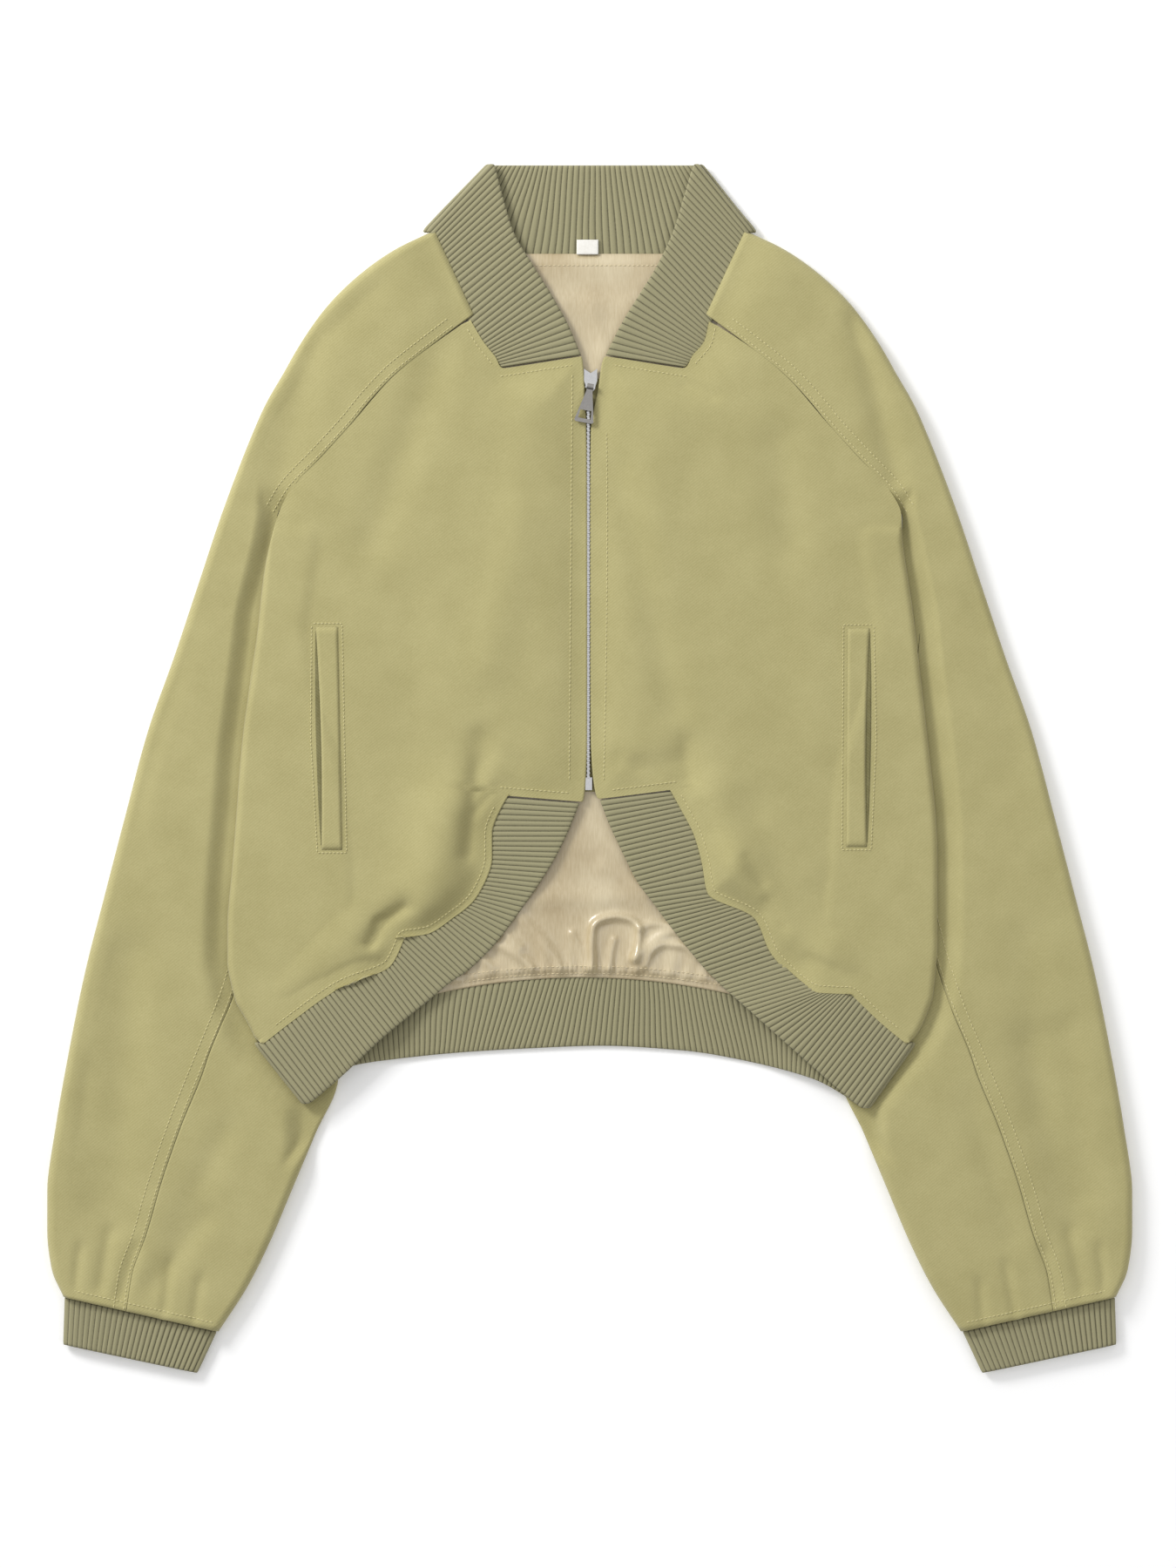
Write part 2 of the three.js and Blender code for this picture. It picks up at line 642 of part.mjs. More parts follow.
// Slider with two ears and the bar that the pull tab swings on.
function slider() {
  const [w, l] = [SLIDER.wide / 2, SLIDER.long];
  const outline = [[-w, 0], [-w, -l * 0.55], [-w * 0.5, -l], [w * 0.5, -l], [w, -l * 0.55], [w, 0], [0, -l * 0.2]];
  const body = extruded(outline, [], SLIDER.low, SLIDER.high - SLIDER.low);
  body.translate(SLIDER.x, SLIDER.y + l / 2, 0);
  const [thick, deep] = [SLIDER.ear / 2, SLIDER.earDeep / 2];
  const ear = (x) => block(x - thick, x + thick, -deep, deep, SLIDER.high - thick - TAB.z, deep);
  const bar = rod(TAB.bar, SLIDER.bar);
  const placed = [ear(-SLIDER.earAt), ear(SLIDER.earAt), bar].map((g) =>
    g.rotateZ((TAB.turn * Math.PI) / 180).translate(TAB.x, TAB.y, TAB.z),
  );
  return geometryOfSolid(placed.reduce((sum, g) => sum.add(solid(g)), solid(body)));
}

// Pull tab: a knuckle round the bar and a plate that widens to the end with its eye.
function pullTab() {
  const [n, w, l] = [TAB_PLATE.neck / 2, TAB_PLATE.wide / 2, TAB_PLATE.long];
  const outline = [[-n, 0], [-n, -3.5], [-w, -l + 1], [-w + 1, -l], [w - 1, -l], [w, -l + 1], [n, -3.5], [n, 0]];
  const [ew, eh, ey] = [TAB_PLATE.eyeWide / 2, TAB_PLATE.eyeHigh / 2, -TAB_PLATE.eyeAt];
  const eye = [[-ew + 0.6, ey + eh], [ew - 0.6, ey + eh], [ew, ey - eh], [-ew, ey - eh]];
  const plate = extruded(outline, [eye], -TAB.thick / 2, TAB.thick);
  const knuckle = solid(rod(TAB.knuckle, TAB_PLATE.neck));
  const made = solid(plate).add(knuckle).subtract(solid(rod(TAB.bore, 2 * TAB_PLATE.neck)));
  return geometryOfSolid(made).rotateZ((TAB.turn * Math.PI) / 180).translate(TAB.x, TAB.y, TAB.z);
}

const jacket = new THREE.Group();

function addPiece(name, geometry, look) {
  const mesh = new THREE.Mesh(geometry, new THREE.MeshStandardMaterial(COLORS[look]));
  mesh.name = name;
  jacket.add(mesh);
}

const frontLeft = frontGrid(FRONT_LEFT);
const frontRight = frontGrid(FRONT_RIGHT);
addPiece("back", wall(BACK_GRID, SHELL), "twill");
addPiece("lining_back", wall(liningGrid(), LINING), "satin");
addPiece("front_left", wall(frontLeft, SHELL, FRONT_STEPS.length), "twill");
addPiece("front_right", wall(frontRight, SHELL, FRONT_STEPS.length), "twill");
for (const [name, side] of [["left", -1], ["right", 1]]) {
  addPiece(`sleeve_${name}`, sleeveOuter(side), "twill");
  addPiece(`sleeve_${name}_under`, sleeveUnder(side), "twill");
  addPiece(`cuff_${name}`, cuff(side), "rib");
}
addPiece("collar", ribBand(foldedRungs(COLLAR, 6, 12, { x: 4, y: 0 })), "rib");
addPiece("hem_rib", ribBand(foldedRungs(HEM, 10, 19, { x: 4, y: 0 })), "rib");
addPiece("pocket_welt_left", welt(frontLeft, WELT_LEFT), "twill");
addPiece("pocket_welt_right", welt(frontRight, WELT_RIGHT), "twill");
addPiece("label", block(LABEL.left, LABEL.right, LABEL.bottom, LABEL.top, LABEL.low, LABEL.high), "label");
const tapeTop = ZIP_LAYERS.low + ZIP_LAYERS.tape;
const tape = (x1, x2) => block(x1, x2, ZIP.tapeBottom, ZIP.tapeTop, ZIP_LAYERS.low, tapeTop);
const [chainLeft, chainRight] = [ZIP.x - ZIP.chain / 2, ZIP.x + ZIP.chain / 2];
const chainLow = tapeTop + ZIP_LAYERS.sunk;
addPiece("zip_tape_left", tape(ZIP.x - ZIP.tape, ZIP.x - GAP / 2), "tape");
addPiece("zip_tape_right", tape(ZIP.x + GAP / 2, ZIP.x + ZIP.tape), "tape");
addPiece("zip_chain", block(chainLeft, chainRight, ZIP.bottom, ZIP.top, chainLow, tapeTop + ZIP_LAYERS.proud), "metal");
addPiece("zip_slider", slider(), "metal");
addPiece("zip_pull", pullTab(), "metal");
const boxRight = chainRight + ZIP_BOX.over;
addPiece("zip_box", block(chainLeft, boxRight, ZIP_BOX.bottom, ZIP.bottom - GAP, chainLow, ZIP_BOX.high), "metal");

export default jacket;
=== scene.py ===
"""A cropped bomber jacket laid flat, front up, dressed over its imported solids. Metres, Z up."""

import bpy
import numpy as np
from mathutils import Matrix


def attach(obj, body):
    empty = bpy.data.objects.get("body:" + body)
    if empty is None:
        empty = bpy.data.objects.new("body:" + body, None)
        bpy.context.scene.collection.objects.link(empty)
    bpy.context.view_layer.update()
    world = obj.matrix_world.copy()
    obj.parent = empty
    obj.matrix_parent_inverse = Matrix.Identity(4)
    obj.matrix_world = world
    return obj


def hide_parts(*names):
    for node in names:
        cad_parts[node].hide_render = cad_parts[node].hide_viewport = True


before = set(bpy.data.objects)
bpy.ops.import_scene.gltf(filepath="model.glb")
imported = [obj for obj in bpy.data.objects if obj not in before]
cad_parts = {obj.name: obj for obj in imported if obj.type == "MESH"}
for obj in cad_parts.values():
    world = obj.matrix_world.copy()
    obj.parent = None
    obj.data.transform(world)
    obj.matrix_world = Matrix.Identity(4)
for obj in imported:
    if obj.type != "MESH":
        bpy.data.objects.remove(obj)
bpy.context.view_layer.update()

MM = 0.001

# Sizes and places in millimetres: walls, gaps, the lie of the cloth, ribs, seams, the lining's hem, the zip.
SHELL = 2.0
LINING = 1.0
RIB_BAND = 3.0
RIB_DEPTH = 0.9
GAP = 0.3
CROWN = 12.0
EDGE_DROP = 4.0
EDGE_REACH = 18.0
SLEEVE_UNDER = 5.0
LIFT = SLEEVE_UNDER + 2 * GAP
LIFT_IN = 50.0
LIFT_FULL = 22.0
ARMPIT_Y = 174.0
SIDE_RAMP = 14.0
SIDE_CLEAR = 4.0
BAND_BACK_Z = 1.5
BAND_TOP_Z = 6.4
UNDERLAP = 2.4
COLLAR_PITCH = 4.0
HEM_PITCH = 3.7
CUFF_PITCH = 3.9
FOLD_OUT = 4.0
CUFF_WALL = 2.4
CLOTH_WALL = 1.8
FRONT_WALL = 1.6
SATIN_WALL = 0.5
SEAM_GAP = 0.12
LEAST_ROUND = 1.0
LEAST_RUN = 0.3
TUCK = 5.0
TUCK_FROM = 5.6
TUCK_TO = 10.5
CURL_FROM = 6.0
STITCH_RISE = 0.12
HEM_Y = -190.0
HEM_RISE = 46.0
HEM_LEFT_X = -229.0
HEM_WIDTH = 448.0
TOOTH_PITCH = 1.4
TOOTH_Z = 7.4
TOOTH_STAGGER = 1.1


def table(columns, rows):
    """Rows of numbers under a line of column names, as one array for each column."""
    return dict(zip(columns.split(), np.array(rows, float).T))


# Rungs of a sleeve from its outer edge to the armhole seam on top and below, then to the inner fold.
SLEEVE = table("outerX outerY topX topY lowX lowY", [
    [-107, 370, -80, 312, -79, 355],
    [-135, 356, -109, 290, -104, 324],
    [-160, 338, -135, 269, -126, 294],
    [-182, 316, -151, 252, -147, 265],
    [-199, 292, -164, 236, -166, 239],
    [-211, 271, -185, 213, -187, 211],
    [-223, 250, -206, 191, -204, 188],
    [-234, 225, -216, 175, -216, 175],
    [-253, 175, -217, 145, -217, 145],
    [-268, 130, -225, 97, -225, 97],
    [-286, 76, -217, 49, -217, 49],
    [-304, 25, -199, 1, -199, 1],
    [-320, -35, -194, -59, -194, -59],
    [-334, -89, -188, -119, -188, -119],
    [-347, -140, -181, -170, -181, -170],
    [-358, -194, -173, -212, -173, -212],
    [-367, -245, -189, -252, -189, -252],
    [-373, -290, -206, -293, -206, -293],
    [-373, -318, -220, -326, -220, -326],
    [-370, -344, -235, -356, -235, -356],
    [-362, -363, -255, -387, -255, -387],
])

# Side edge of the body, left and right, at each height.
SIDE = table("leftX rightX Y", [
    [-212, 207, 174],
    [-215, 212, 157],
    [-227, 222, 109],
    [-233, 227, 61],
    [-239, 233, 19],
    [-243, 238, -29],
    [-247, 239, -71],
    [-249, 239, -107],
    [-249, 238, -134],
    [-242, 234, -164],
    [-233, 225, -184],
    [-193, 187, -233],
])

# Rungs of the left front from collar, zip and hem seam out to armhole seam and side.
FRONT_LEFT = table("inX inY outX outY", [
    [-82, 308, -88, 305],
    [-73, 293, -109, 290],
    [-65, 283, -135, 269],
    [-59, 275, -164, 236],
    [-6, 283, -185, 213],
    [-3.5, 259, -206, 191],
    [-2.1, 217, -214, 174],
    [-1.9, 169, -224, 133],
    [-1.8, 109, -228, 97],
    [-1.8, 61, -233, 60],
    [-1.9, 19, -236.5, 38],
    [-5, -23, -238.5, 22],
    [-55.5, -19, -240.5, 0],
    [-56, -19, -244, -47],
    [-67, -44, -246, -71],
    [-67, -62, -248, -92],
    [-78, -89, -249, -106],
    [-94, -103, -249, -120],
    [-112, -114, -249, -130],
    [-126.5, -116, -249, -135],
    [-127, -116, -243, -161],
    [-137, -136, -238, -170],
    [-170, -150, -233, -179],
    [-202, -172, -230, -185],
    [-224, -189, -227, -188],
])

# Rungs of the right front, the same way.
FRONT_RIGHT = table("inX inY outX outY", [
    [82, 307, 88, 304],
    [79, 294, 109, 290],
    [71, 284, 135, 269],
    [64, 275, 164, 236],
    [11, 283, 185, 213],
    [5.5, 259, 206, 191],
    [0.6, 229, 214, 174],
    [0.2, 181, 215, 157],
    [0.2, 121, 222, 109],
    [0.3, 61, 227, 66],
    [0.7, 19, 229.5, 45],
    [6, -21, 231.5, 27],
    [54.5, -15, 233.5, 9],
    [55, -15, 236, -14],
    [63, -29, 238, -35],
    [72, -47, 239, -59],
    [77, -65, 239, -80],
    [81, -86, 239, -104],
    [113, -103, 239, -122],
    [125, -128, 238, -137],
    [157, -154, 236, -156],
    [178.5, -155, 235.7, -157.5],
    [179, -155, 230, -173],
    [200, -175, 224, -184],
    [217, -189, 220, -188],
])

# Rungs of the collar band from its seam to its free edge: left end, neck fold, back, fold, right end.
COLLAR = table("seamX seamY freeX freeY", [
    [-59, 276, -6, 284],
    [-65, 283, -14, 303],
    [-73, 293, -26, 325],
    [-83, 310, -39, 346],
    [-94, 334, -52, 368],
    [-103, 355, -60, 394],
    [-109, 370, -66, 415],
    [-82, 359, -52, 415],
    [-43, 354, -31, 415],
    [0, 353, 0, 415],
    [48, 354, 35, 415],
    [83, 358, 57, 415],
    [109, 370, 72, 415],
    [103, 355, 65, 394],
    [94, 334, 58, 371],
    [83, 310, 47, 347],
    [79, 294, 35, 327],
    [71, 284, 22, 306],
    [64, 276, 11, 284],
])

# Rungs of the hem band from its seam to its free edge: left end, side fold, back, fold, right end.
HEM = table("seamX seamY freeX freeY", [
    [-57, -20, -7, -24],
    [-67, -44, -15, -44],
    [-67, -62, -25, -64],
    [-78, -89, -47, -97],
    [-94, -103, -67, -123],
    [-112, -114, -85, -140],
    [-127, -116, -94, -146],
    [-137, -136, -115, -163],
    [-170, -150, -142, -185],
    [-202, -172, -172, -213],
    [-225, -190, -193, -230],
    [-178, -173, -164, -205],
    [-136, -160, -133, -200],
    [-87, -149, -94, -196],
    [-31, -143, -46, -193],
    [14, -143, 8, -191],
    [56, -145, 62, -194],
    [101, -154, 110, -202],
    [164, -170, 155, -214],
    [218, -190, 187, -233],
    [200, -175, 167, -217],
    [179, -155, 143, -196],
    [157, -154, 115, -171],
    [125, -128, 83, -142],
    [113, -103, 65, -121],
    [81, -86, 43, -92],
    [77, -65, 32, -77],
    [72, -47, 23, -59],
    [63, -29, 14, -40],
    [54, -16, 7, -22],
])

# Rungs of the back from left to right, rise being how far the middle curves up.
BACK = table("leftX leftY rightX rightY rise", [
    [-80, 351, 80, 351, 0],
    [-103, 324, 103, 324, 0],
    [-124, 294, 124, 294, 0],
    [-145, 265, 145, 265, 0],
    [-164, 239, 164, 239, 0],
    [-185, 211, 185, 211, 0],
    [-202, 188, 202, 188, 0],
    [-211, 172, 205, 172, 0],
    [-224, 115, 219, 115, 0],
    [-235, 49, 227, 49, 0],
    [-241, -17, 235, -17, 6],
    [-245, -71, 237, -71, 17],
    [-247, -116, 236, -116, 27],
    [-243, -149, 233, -149, 37],
    [-229, -188, 219, -188, 46],
])

# Large folds: the line each runs along, its width, and how far it rises above the cloth around it.
FOLDS = table("x1 y1 x2 y2 width rise", [
    [-102, 289, -149, 157, 14, -2],
    [-46, 169, -70, 73, 16, 2],
    [-74, 19, -83, -59, 9, -3],
    [-95, -30, -112, -92, 24, 7],
    [-127, -95, -150, -119, 8, -3],
    [-160, -120, -200, -160, 22, 4],
    [20, 204, 58, 43, 12, -2],
    [66, 16, 67, -8, 10, -2],
    [130, 223, 137, 157, 14, -2],
    [88, -20, 98, -60, 20, 4],
    [98, -70, 118, -110, 20, 6],
    [165, -130, 195, -160, 20, 4],
    [-191, 304, -215, 190, 14, -2],
    [-316, -131, -328, -311, 16, -3],
    [-265, -309, -300, -355, 9, -2],
    [302, -190, 332, -311, 14, -3],
    [184, 311, 210, 200, 9, -3],
])

# Share of a sleeve rung, from its outer edge, at which the front and back sleeve seams lie.
SEAM_SHARE = np.array([
    1, 1, 1, 1, 1, 1, 1, 0.97, 0.96, 0.95, 0.94, 0.88, 0.79, 0.7, 0.61, 0.51, 0.48, 0.46, 0.445, 0.41, 0.41,
])
FIRST_UNDER = 7
FIRST_SHOWN = 12

# Finer creases that only the cloth of the dressed model has: the same columns, in the same units.
CREASES = table("x1 y1 x2 y2 width rise", [
    [-64, -13, -78, -30, 3.5, -1.2],
    [-48, 2, -66, 12, 6, -1.2],
    [20, 6, 46, -5, 5, -1.6],
    [34, 3, 64, 6, 5, -1.4],
    [66, 16, 69, -4, 4.5, -1.0],
    [12, 275, 6, 246, 4, -1.6],
    [66, 264, 84, 256, 5, -1.2],
    [-78, 0, -84, -58, 4.5, -1.4],
    [-128, -96, -144, -106, 4, -2.6],
    [-144, -106, -150, -120, 4, -2.4],
    [-150, -128, -176, -144, 8, 1.6],
    [108, -62, 118, -78, 5, -1.6],
    [122, -92, 132, -108, 5, -1.6],
    [150, -132, 166, -140, 5, -1.4],
    [128, -40, 150, -70, 14, 1.4],
    [-196, -30, -210, -90, 12, -1.2],
    [-40, 250, -52, 180, 14, 1.0],
    [-205, 90, -226, 40, 12, -1.2],
    [50, 236, 44, 120, 16, 0.9],
    [150, 120, 160, 20, 18, 0.9],
    [-120, 120, -124, 20, 18, -0.8],
    [-330, -320, -336, -356, 5, -1.8],
    [-312, -330, -322, -362, 5, -1.8],
    [-288, -340, -292, -372, 4, -1.6],
    [-268, -352, -272, -380, 4, -1.6],
    [-350, -330, -354, -356, 4, -1.4],
    [-348, -210, -342, -300, 12, -1.6],
    [-250, -250, -285, -320, 10, -1.4],
    [-300, 100, -322, -20, 16, -1.2],
    [330, -320, 338, -356, 5, -1.8],
    [312, -332, 320, -362, 5, -1.8],
    [286, -342, 292, -374, 4, -1.6],
    [268, -354, 270, -380, 4, -1.6],
    [350, -330, 354, -356, 4, -1.4],
    [326, -180, 342, -290, 12, -2.0],
    [300, -120, 312, -230, 14, -1.4],
    [262, -230, 290, -320, 10, -1.4],
    [270, 120, 300, 10, 18, -1.2],
    [-150, 330, -190, 290, 12, -1.0],
    [150, 330, 180, 296, 12, -1.0],
])


def smooth(t):
    """A soft step from 0 to 1: 3t squared less 2t cubed, held at its ends."""
    t = np.clip(t, 0, 1)
    return t * t * (3 - 2 * t)


def mix(a, b, t):
    return a + (b - a) * t


def to_segment(x, y, x1, y1, x2, y2):
    """Distance from each point to the nearest point of one segment."""
    t = np.clip(((x - x1) * (x2 - x1) + (y - y1) * (y2 - y1)) / ((x2 - x1) ** 2 + (y2 - y1) ** 2), 0, 1)
    return np.hypot(x - mix(x1, x2, t), y - mix(y1, y2, t))


def to_line(x, y, px, py):
    """Distance from each point to a chain of segments."""
    gap = np.full(np.shape(x), 1e9)
    for k in range(len(px) - 1):
        gap = np.minimum(gap, to_segment(x, y, px[k], py[k], px[k + 1], py[k + 1]))
    return gap


def column_at(rows, height, name, y):
    """A column of a table read off at a height, straight between its rows."""
    return np.interp(-np.asarray(y), -rows[height], rows[name])


EDGES = [
    (np.append(-109, FRONT_LEFT["inX"]), np.append(370, FRONT_LEFT["inY"])),
    (np.append(109, FRONT_RIGHT["inX"]), np.append(370, FRONT_RIGHT["inY"])),
]


def lift(x, y):
    """Rise of the body over the inner side of a sleeve: a soft step across and another at the armpit."""
    inner = -column_at(SLEEVE, "topY", "topX", y)
    across = smooth((np.abs(x) - inner + LIFT_IN) / (LIFT_IN - LIFT_FULL))
    return LIFT * across * smooth((ARMPIT_Y + 6 - y) / 20)


def crown(x, y):
    """Height of the upper cloth: level, falling as a bell curve to the seams, plus a bell for each fold."""
    edge = np.minimum(to_line(x, y, *EDGES[0]), to_line(x, y, *EDGES[1]))
    z = CROWN - EDGE_DROP * np.exp(-((edge / EDGE_REACH) ** 2))
    share = 1 - np.exp(-((edge / 10) ** 2))
    for folds in (FOLDS, CREASES):
        for x1, y1, x2, y2, width, rise in zip(*folds.values()):
            gap = to_segment(x, y, x1, y1, x2, y2)
            z = z + rise * share * np.exp(-((gap / width) ** 2))
    return z


def front_top(x, y):
    """Height of a front's outside: the crown, or what lies below it where that stands higher."""
    return np.maximum(crown(x, y), lift(x, y) + 2 * SHELL + LINING + 9 * GAP)


def sleeve_top(x, y):
    """Height of the upper sleeve: the crown, pressed flat where the body lies on it."""
    side = np.where(x < 0, -column_at(SIDE, "Y", "leftX", y), column_at(SIDE, "Y", "rightX", y))
    past = smooth((np.abs(x) - side - SIDE_CLEAR) / SIDE_RAMP)
    free = np.maximum(smooth((y - ARMPIT_Y) / 20), smooth((-255 - y) / 20))
    return mix(SLEEVE_UNDER, crown(x, y), np.maximum(past, free))


def through(values, per):
    """A curve through every value of a table's column, with slopes that never overshoot, per steps a row."""
    values = np.asarray(values, float)
    step = np.diff(values)
    slope = np.zeros(len(values))
    same = step[1:] * step[:-1] > 0
    with np.errstate(divide="ignore", invalid="ignore"):
        slope[1:-1] = np.where(same, 2 * step[1:] * step[:-1] / (step[1:] + step[:-1]), 0)
    slope[0], slope[-1] = step[0], step[-1]
    t = np.linspace(0, len(values) - 1, (len(values) - 1) * per + 1) if np.isscalar(per) else per
    k = np.minimum(t.astype(int), len(values) - 2)
    u = t - k
    return (
        (2 * u**3 - 3 * u**2 + 1) * values[k]
        + (u**3 - 2 * u**2 + u) * slope[k]
        + (3 * u**2 - 2 * u**3) * values[k + 1]
        + (u**3 - u**2) * slope[k + 1]
    )


def put_mesh(name, points, faces, material, body="jacket"):
    """One named piece from an array of points in millimetres and an array of faces."""
    mesh = bpy.data.meshes.new(name)
    mesh.from_pydata((points * MM).tolist(), [], faces.tolist())
    mesh.validate()
    mesh.materials.append(material)
    mesh.shade_smooth()
    piece = bpy.data.objects.new(name, mesh)
    bpy.context.scene.collection.objects.link(piece)
    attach(piece, body)
    return piece


def grid_faces(rows, columns, ring=False):
    """Four-sided faces between neighbouring points of a grid, joined across where it is a ring."""
    i, j = np.meshgrid(np.arange(rows - 1), np.arange(columns if ring else columns - 1), indexing="ij")
    near, far = i * columns, (i + 1) * columns
    k = (j + 1) % columns
    return np.stack([near + j, near + k, far + k, far + j], -1).reshape(-1, 4)


def grid_normals(grid):
    """Unit normals of a grid from the cross product of its two directions."""
    along, across = np.gradient(grid, axis=0), np.gradient(grid, axis=1)
    normal = np.cross(along, across)
    normal = normal / np.maximum(np.linalg.norm(normal, axis=-1, keepdims=True), 1e-9)
    return normal if normal[len(grid) // 2, 0, 2] > 0 else -normal


def closed_wall(outer, inner, ring=False):
    """Points and faces of the body between two grids: both skins, and a rim along every open edge."""
    rows, columns = outer.shape[:2]
    count = rows * columns
    skin = grid_faces(rows, columns, ring)
    points = np.concatenate([outer.reshape(-1, 3), inner.reshape(-1, 3)])
    faces = [skin, skin[:, ::-1] + count]
    j = np.arange(columns if ring else columns - 1)
    k = (j + 1) % columns
    low = (rows - 1) * columns
    faces.append(np.stack([j, j + count, k + count, k], -1))
    faces.append(np.stack([low + j, low + k, low + k + count, low + j + count], -1))
    if not ring:
        i = np.arange(rows - 1) * columns
        n = i + columns
        last = columns - 1
        faces.append(np.stack([i, n, n + count, i + count], -1))
        faces.append(np.stack([i + last, i + last + count, n + last + count, n + last], -1))
    faces = np.concatenate(faces)
    corner = points[faces]
    volume = np.einsum("ij,ij->", corner[:, 0], np.cross(corner[:, 1], corner[:, 2]))
    volume += np.einsum("ij,ij->", corner[:, 0], np.cross(corner[:, 2], corner[:, 3]))
    return points, (faces[:, ::-1] if volume < 0 else faces)


def cloth(name, grid, thick, material, node, upright=False):
    """A cloth shell behind its outer grid, in place of its node, which it hides."""
    normal = grid_normals(grid)
    if upright:
        normal = np.zeros_like(grid)
        normal[..., 2] = 1
    points, faces = closed_wall(grid, grid - normal * thick)
    piece = put_mesh(name, points, faces, material)
    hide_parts(node)


def linear(hex_colour):
    """An sRGB hex colour as the linear red, green, blue and alpha that a shader takes."""
    c = np.array([int(hex_colour[i : i + 2], 16) for i in (1, 3, 5)]) / 255
    c = np.where(c <= 0.04045, c / 12.92, ((c + 0.055) / 1.055) ** 2.4)
    return (*c.tolist(), 1.0)


def new_material(name):
    material = bpy.data.materials.new(name)
    material.use_nodes = True
    tree = material.node_tree
    return material, tree, tree.nodes["Principled BSDF"]


def joined(tree, a, b, factor):
    """Two values mixed by a factor."""
    blend = add(tree, "ShaderNodeMix", {"A": a, "B": b}, data_type="FLOAT")
    blend.inputs["Factor"].default_value = factor
    return blend.outputs["Result"]


def coloured(tree, shader, value, low, dark, high, light):
    """A shader's colour, from a dark tone at the low value to a light tone at the high one."""
    tone = add(tree, "ShaderNodeValToRGB", {"Fac": value})
    for stop, place, colour in zip(tone.color_ramp.elements, (low, high), (dark, light)):
        stop.position = place
        stop.color = linear(colour)
    tree.links.new(tone.outputs["Color"], shader.inputs["Base Color"])


def raised(tree, shader, value, strength, distance):
    """A shader's relief, from a value used as height."""
    relief = add(tree, "ShaderNodeBump", {"Height": value}, Strength=strength, Distance=distance)
    tree.links.new(relief.outputs["Normal"], shader.inputs["Normal"])


def add(tree, kind, links=None, **settings):
    """One node, with its settings and input values, and the links that come into it."""
    node = tree.nodes.new(kind)
    for name, value in settings.items():
        if hasattr(node, name):
            setattr(node, name, value)
        else:
            node.inputs[name.replace("_", " ")].default_value = value
    for name, source in (links or {}).items():
        tree.links.new(source, node.inputs[name])
    return node


def cloth_material(name, dark, light, weave_mm, turn, roughness, sheen, weave_bump, mottle_mm):
    """Colour between two tones by soft noise and a fine diagonal weave, with the weave as relief."""
    material, tree, shader = new_material(name)
    place = add(tree, "ShaderNodeTexCoord").outputs["Object"]
    turned = add(tree, "ShaderNodeMapping", {"Vector": place}, Rotation=(0, 0, turn)).outputs["Vector"]
    weave = add(
        tree, "ShaderNodeTexWave", {"Vector": turned},
        wave_type="BANDS", bands_direction="X", Scale=0.314 / (weave_mm * MM), Distortion=1.5, Detail=2.0,
    )
    weave.inputs["Detail Scale"].default_value = 3.0
    mottle = add(tree, "ShaderNodeTexNoise", {"Vector": place}, Scale=1 / (mottle_mm * MM), Detail=5.0)
    fuzz = add(tree, "ShaderNodeTexNoise", {"Vector": place}, Scale=1 / (1.3 * MM), Detail=3.0)
    blend = joined(tree, mottle.outputs["Fac"], fuzz.outputs["Fac"], 0.45)
    grain = joined(tree, blend, weave.outputs["Fac"], 0.18)
    coloured(tree, shader, grain, 0.3, dark, 0.72, light)
    raised(tree, shader, grain, weave_bump, 0.0004)
    shader.inputs["Roughness"].default_value = roughness
    shader.inputs["Sheen Weight"].default_value = sheen
    shader.inputs["Sheen Roughness"].default_value = 0.5
    return material


def satin_material():
    """Acetate satin, warp floats packed close: a smooth champagne ground with long streaked highlights."""
    material, tree, shader = new_material("acetate_satin")
    place = add(tree, "ShaderNodeTexCoord").outputs["Object"]
    stretched = add(tree, "ShaderNodeMapping", {"Vector": place}, Scale=(1, 0.12, 1)).outputs["Vector"]
    floats = add(tree, "ShaderNodeTexNoise", {"Vector": stretched}, Scale=1 / (1.0 * MM), Detail=4.0)
    cloud = add(tree, "ShaderNodeTexNoise", {"Vector": place}, Scale=1 / (45 * MM), Detail=2.0)
    blend = joined(tree, cloud.outputs["Fac"], floats.outputs["Fac"], 0.35)
    coloured(tree, shader, blend, 0.32, "#B5A27C", 0.7, "#D8CAA8")
    raised(tree, shader, floats.outputs["Fac"], 0.15, 0.0002)
    shader.inputs["Roughness"].default_value = 0.26
    shader.inputs["Specular IOR Level"].default_value = 1.0
    shader.inputs["Anisotropic"].default_value = 0.5
    return material


def rib_material():
    """Cotton rib knit, 2 by 2: matt columns, with painted shade darkening the grooves, by the height that
    each point carries.
    """
    material, tree, shader = new_material("cotton_rib_knit")
    place = add(tree, "ShaderNodeTexCoord").outputs["Object"]
    height = add(tree, "ShaderNodeAttribute", attribute_name="ridge")
    fuzz = add(tree, "ShaderNodeTexNoise", {"Vector": place}, Scale=1 / (1.0 * MM), Detail=4.0)
    # Grooves painted dark as shade by the knit height of each point, mixed with fine fuzz of random tone.
    columns = joined(tree, height.outputs["Fac"], fuzz.outputs["Fac"], 0.3)
    coloured(tree, shader, columns, 0.1, "#4C4833", 0.62, "#999472")
    raised(tree, shader, fuzz.outputs["Fac"], 0.3, 0.0004)
    shader.inputs["Roughness"].default_value = 0.9
    shader.inputs["Sheen Weight"].default_value = 0.2
    return material


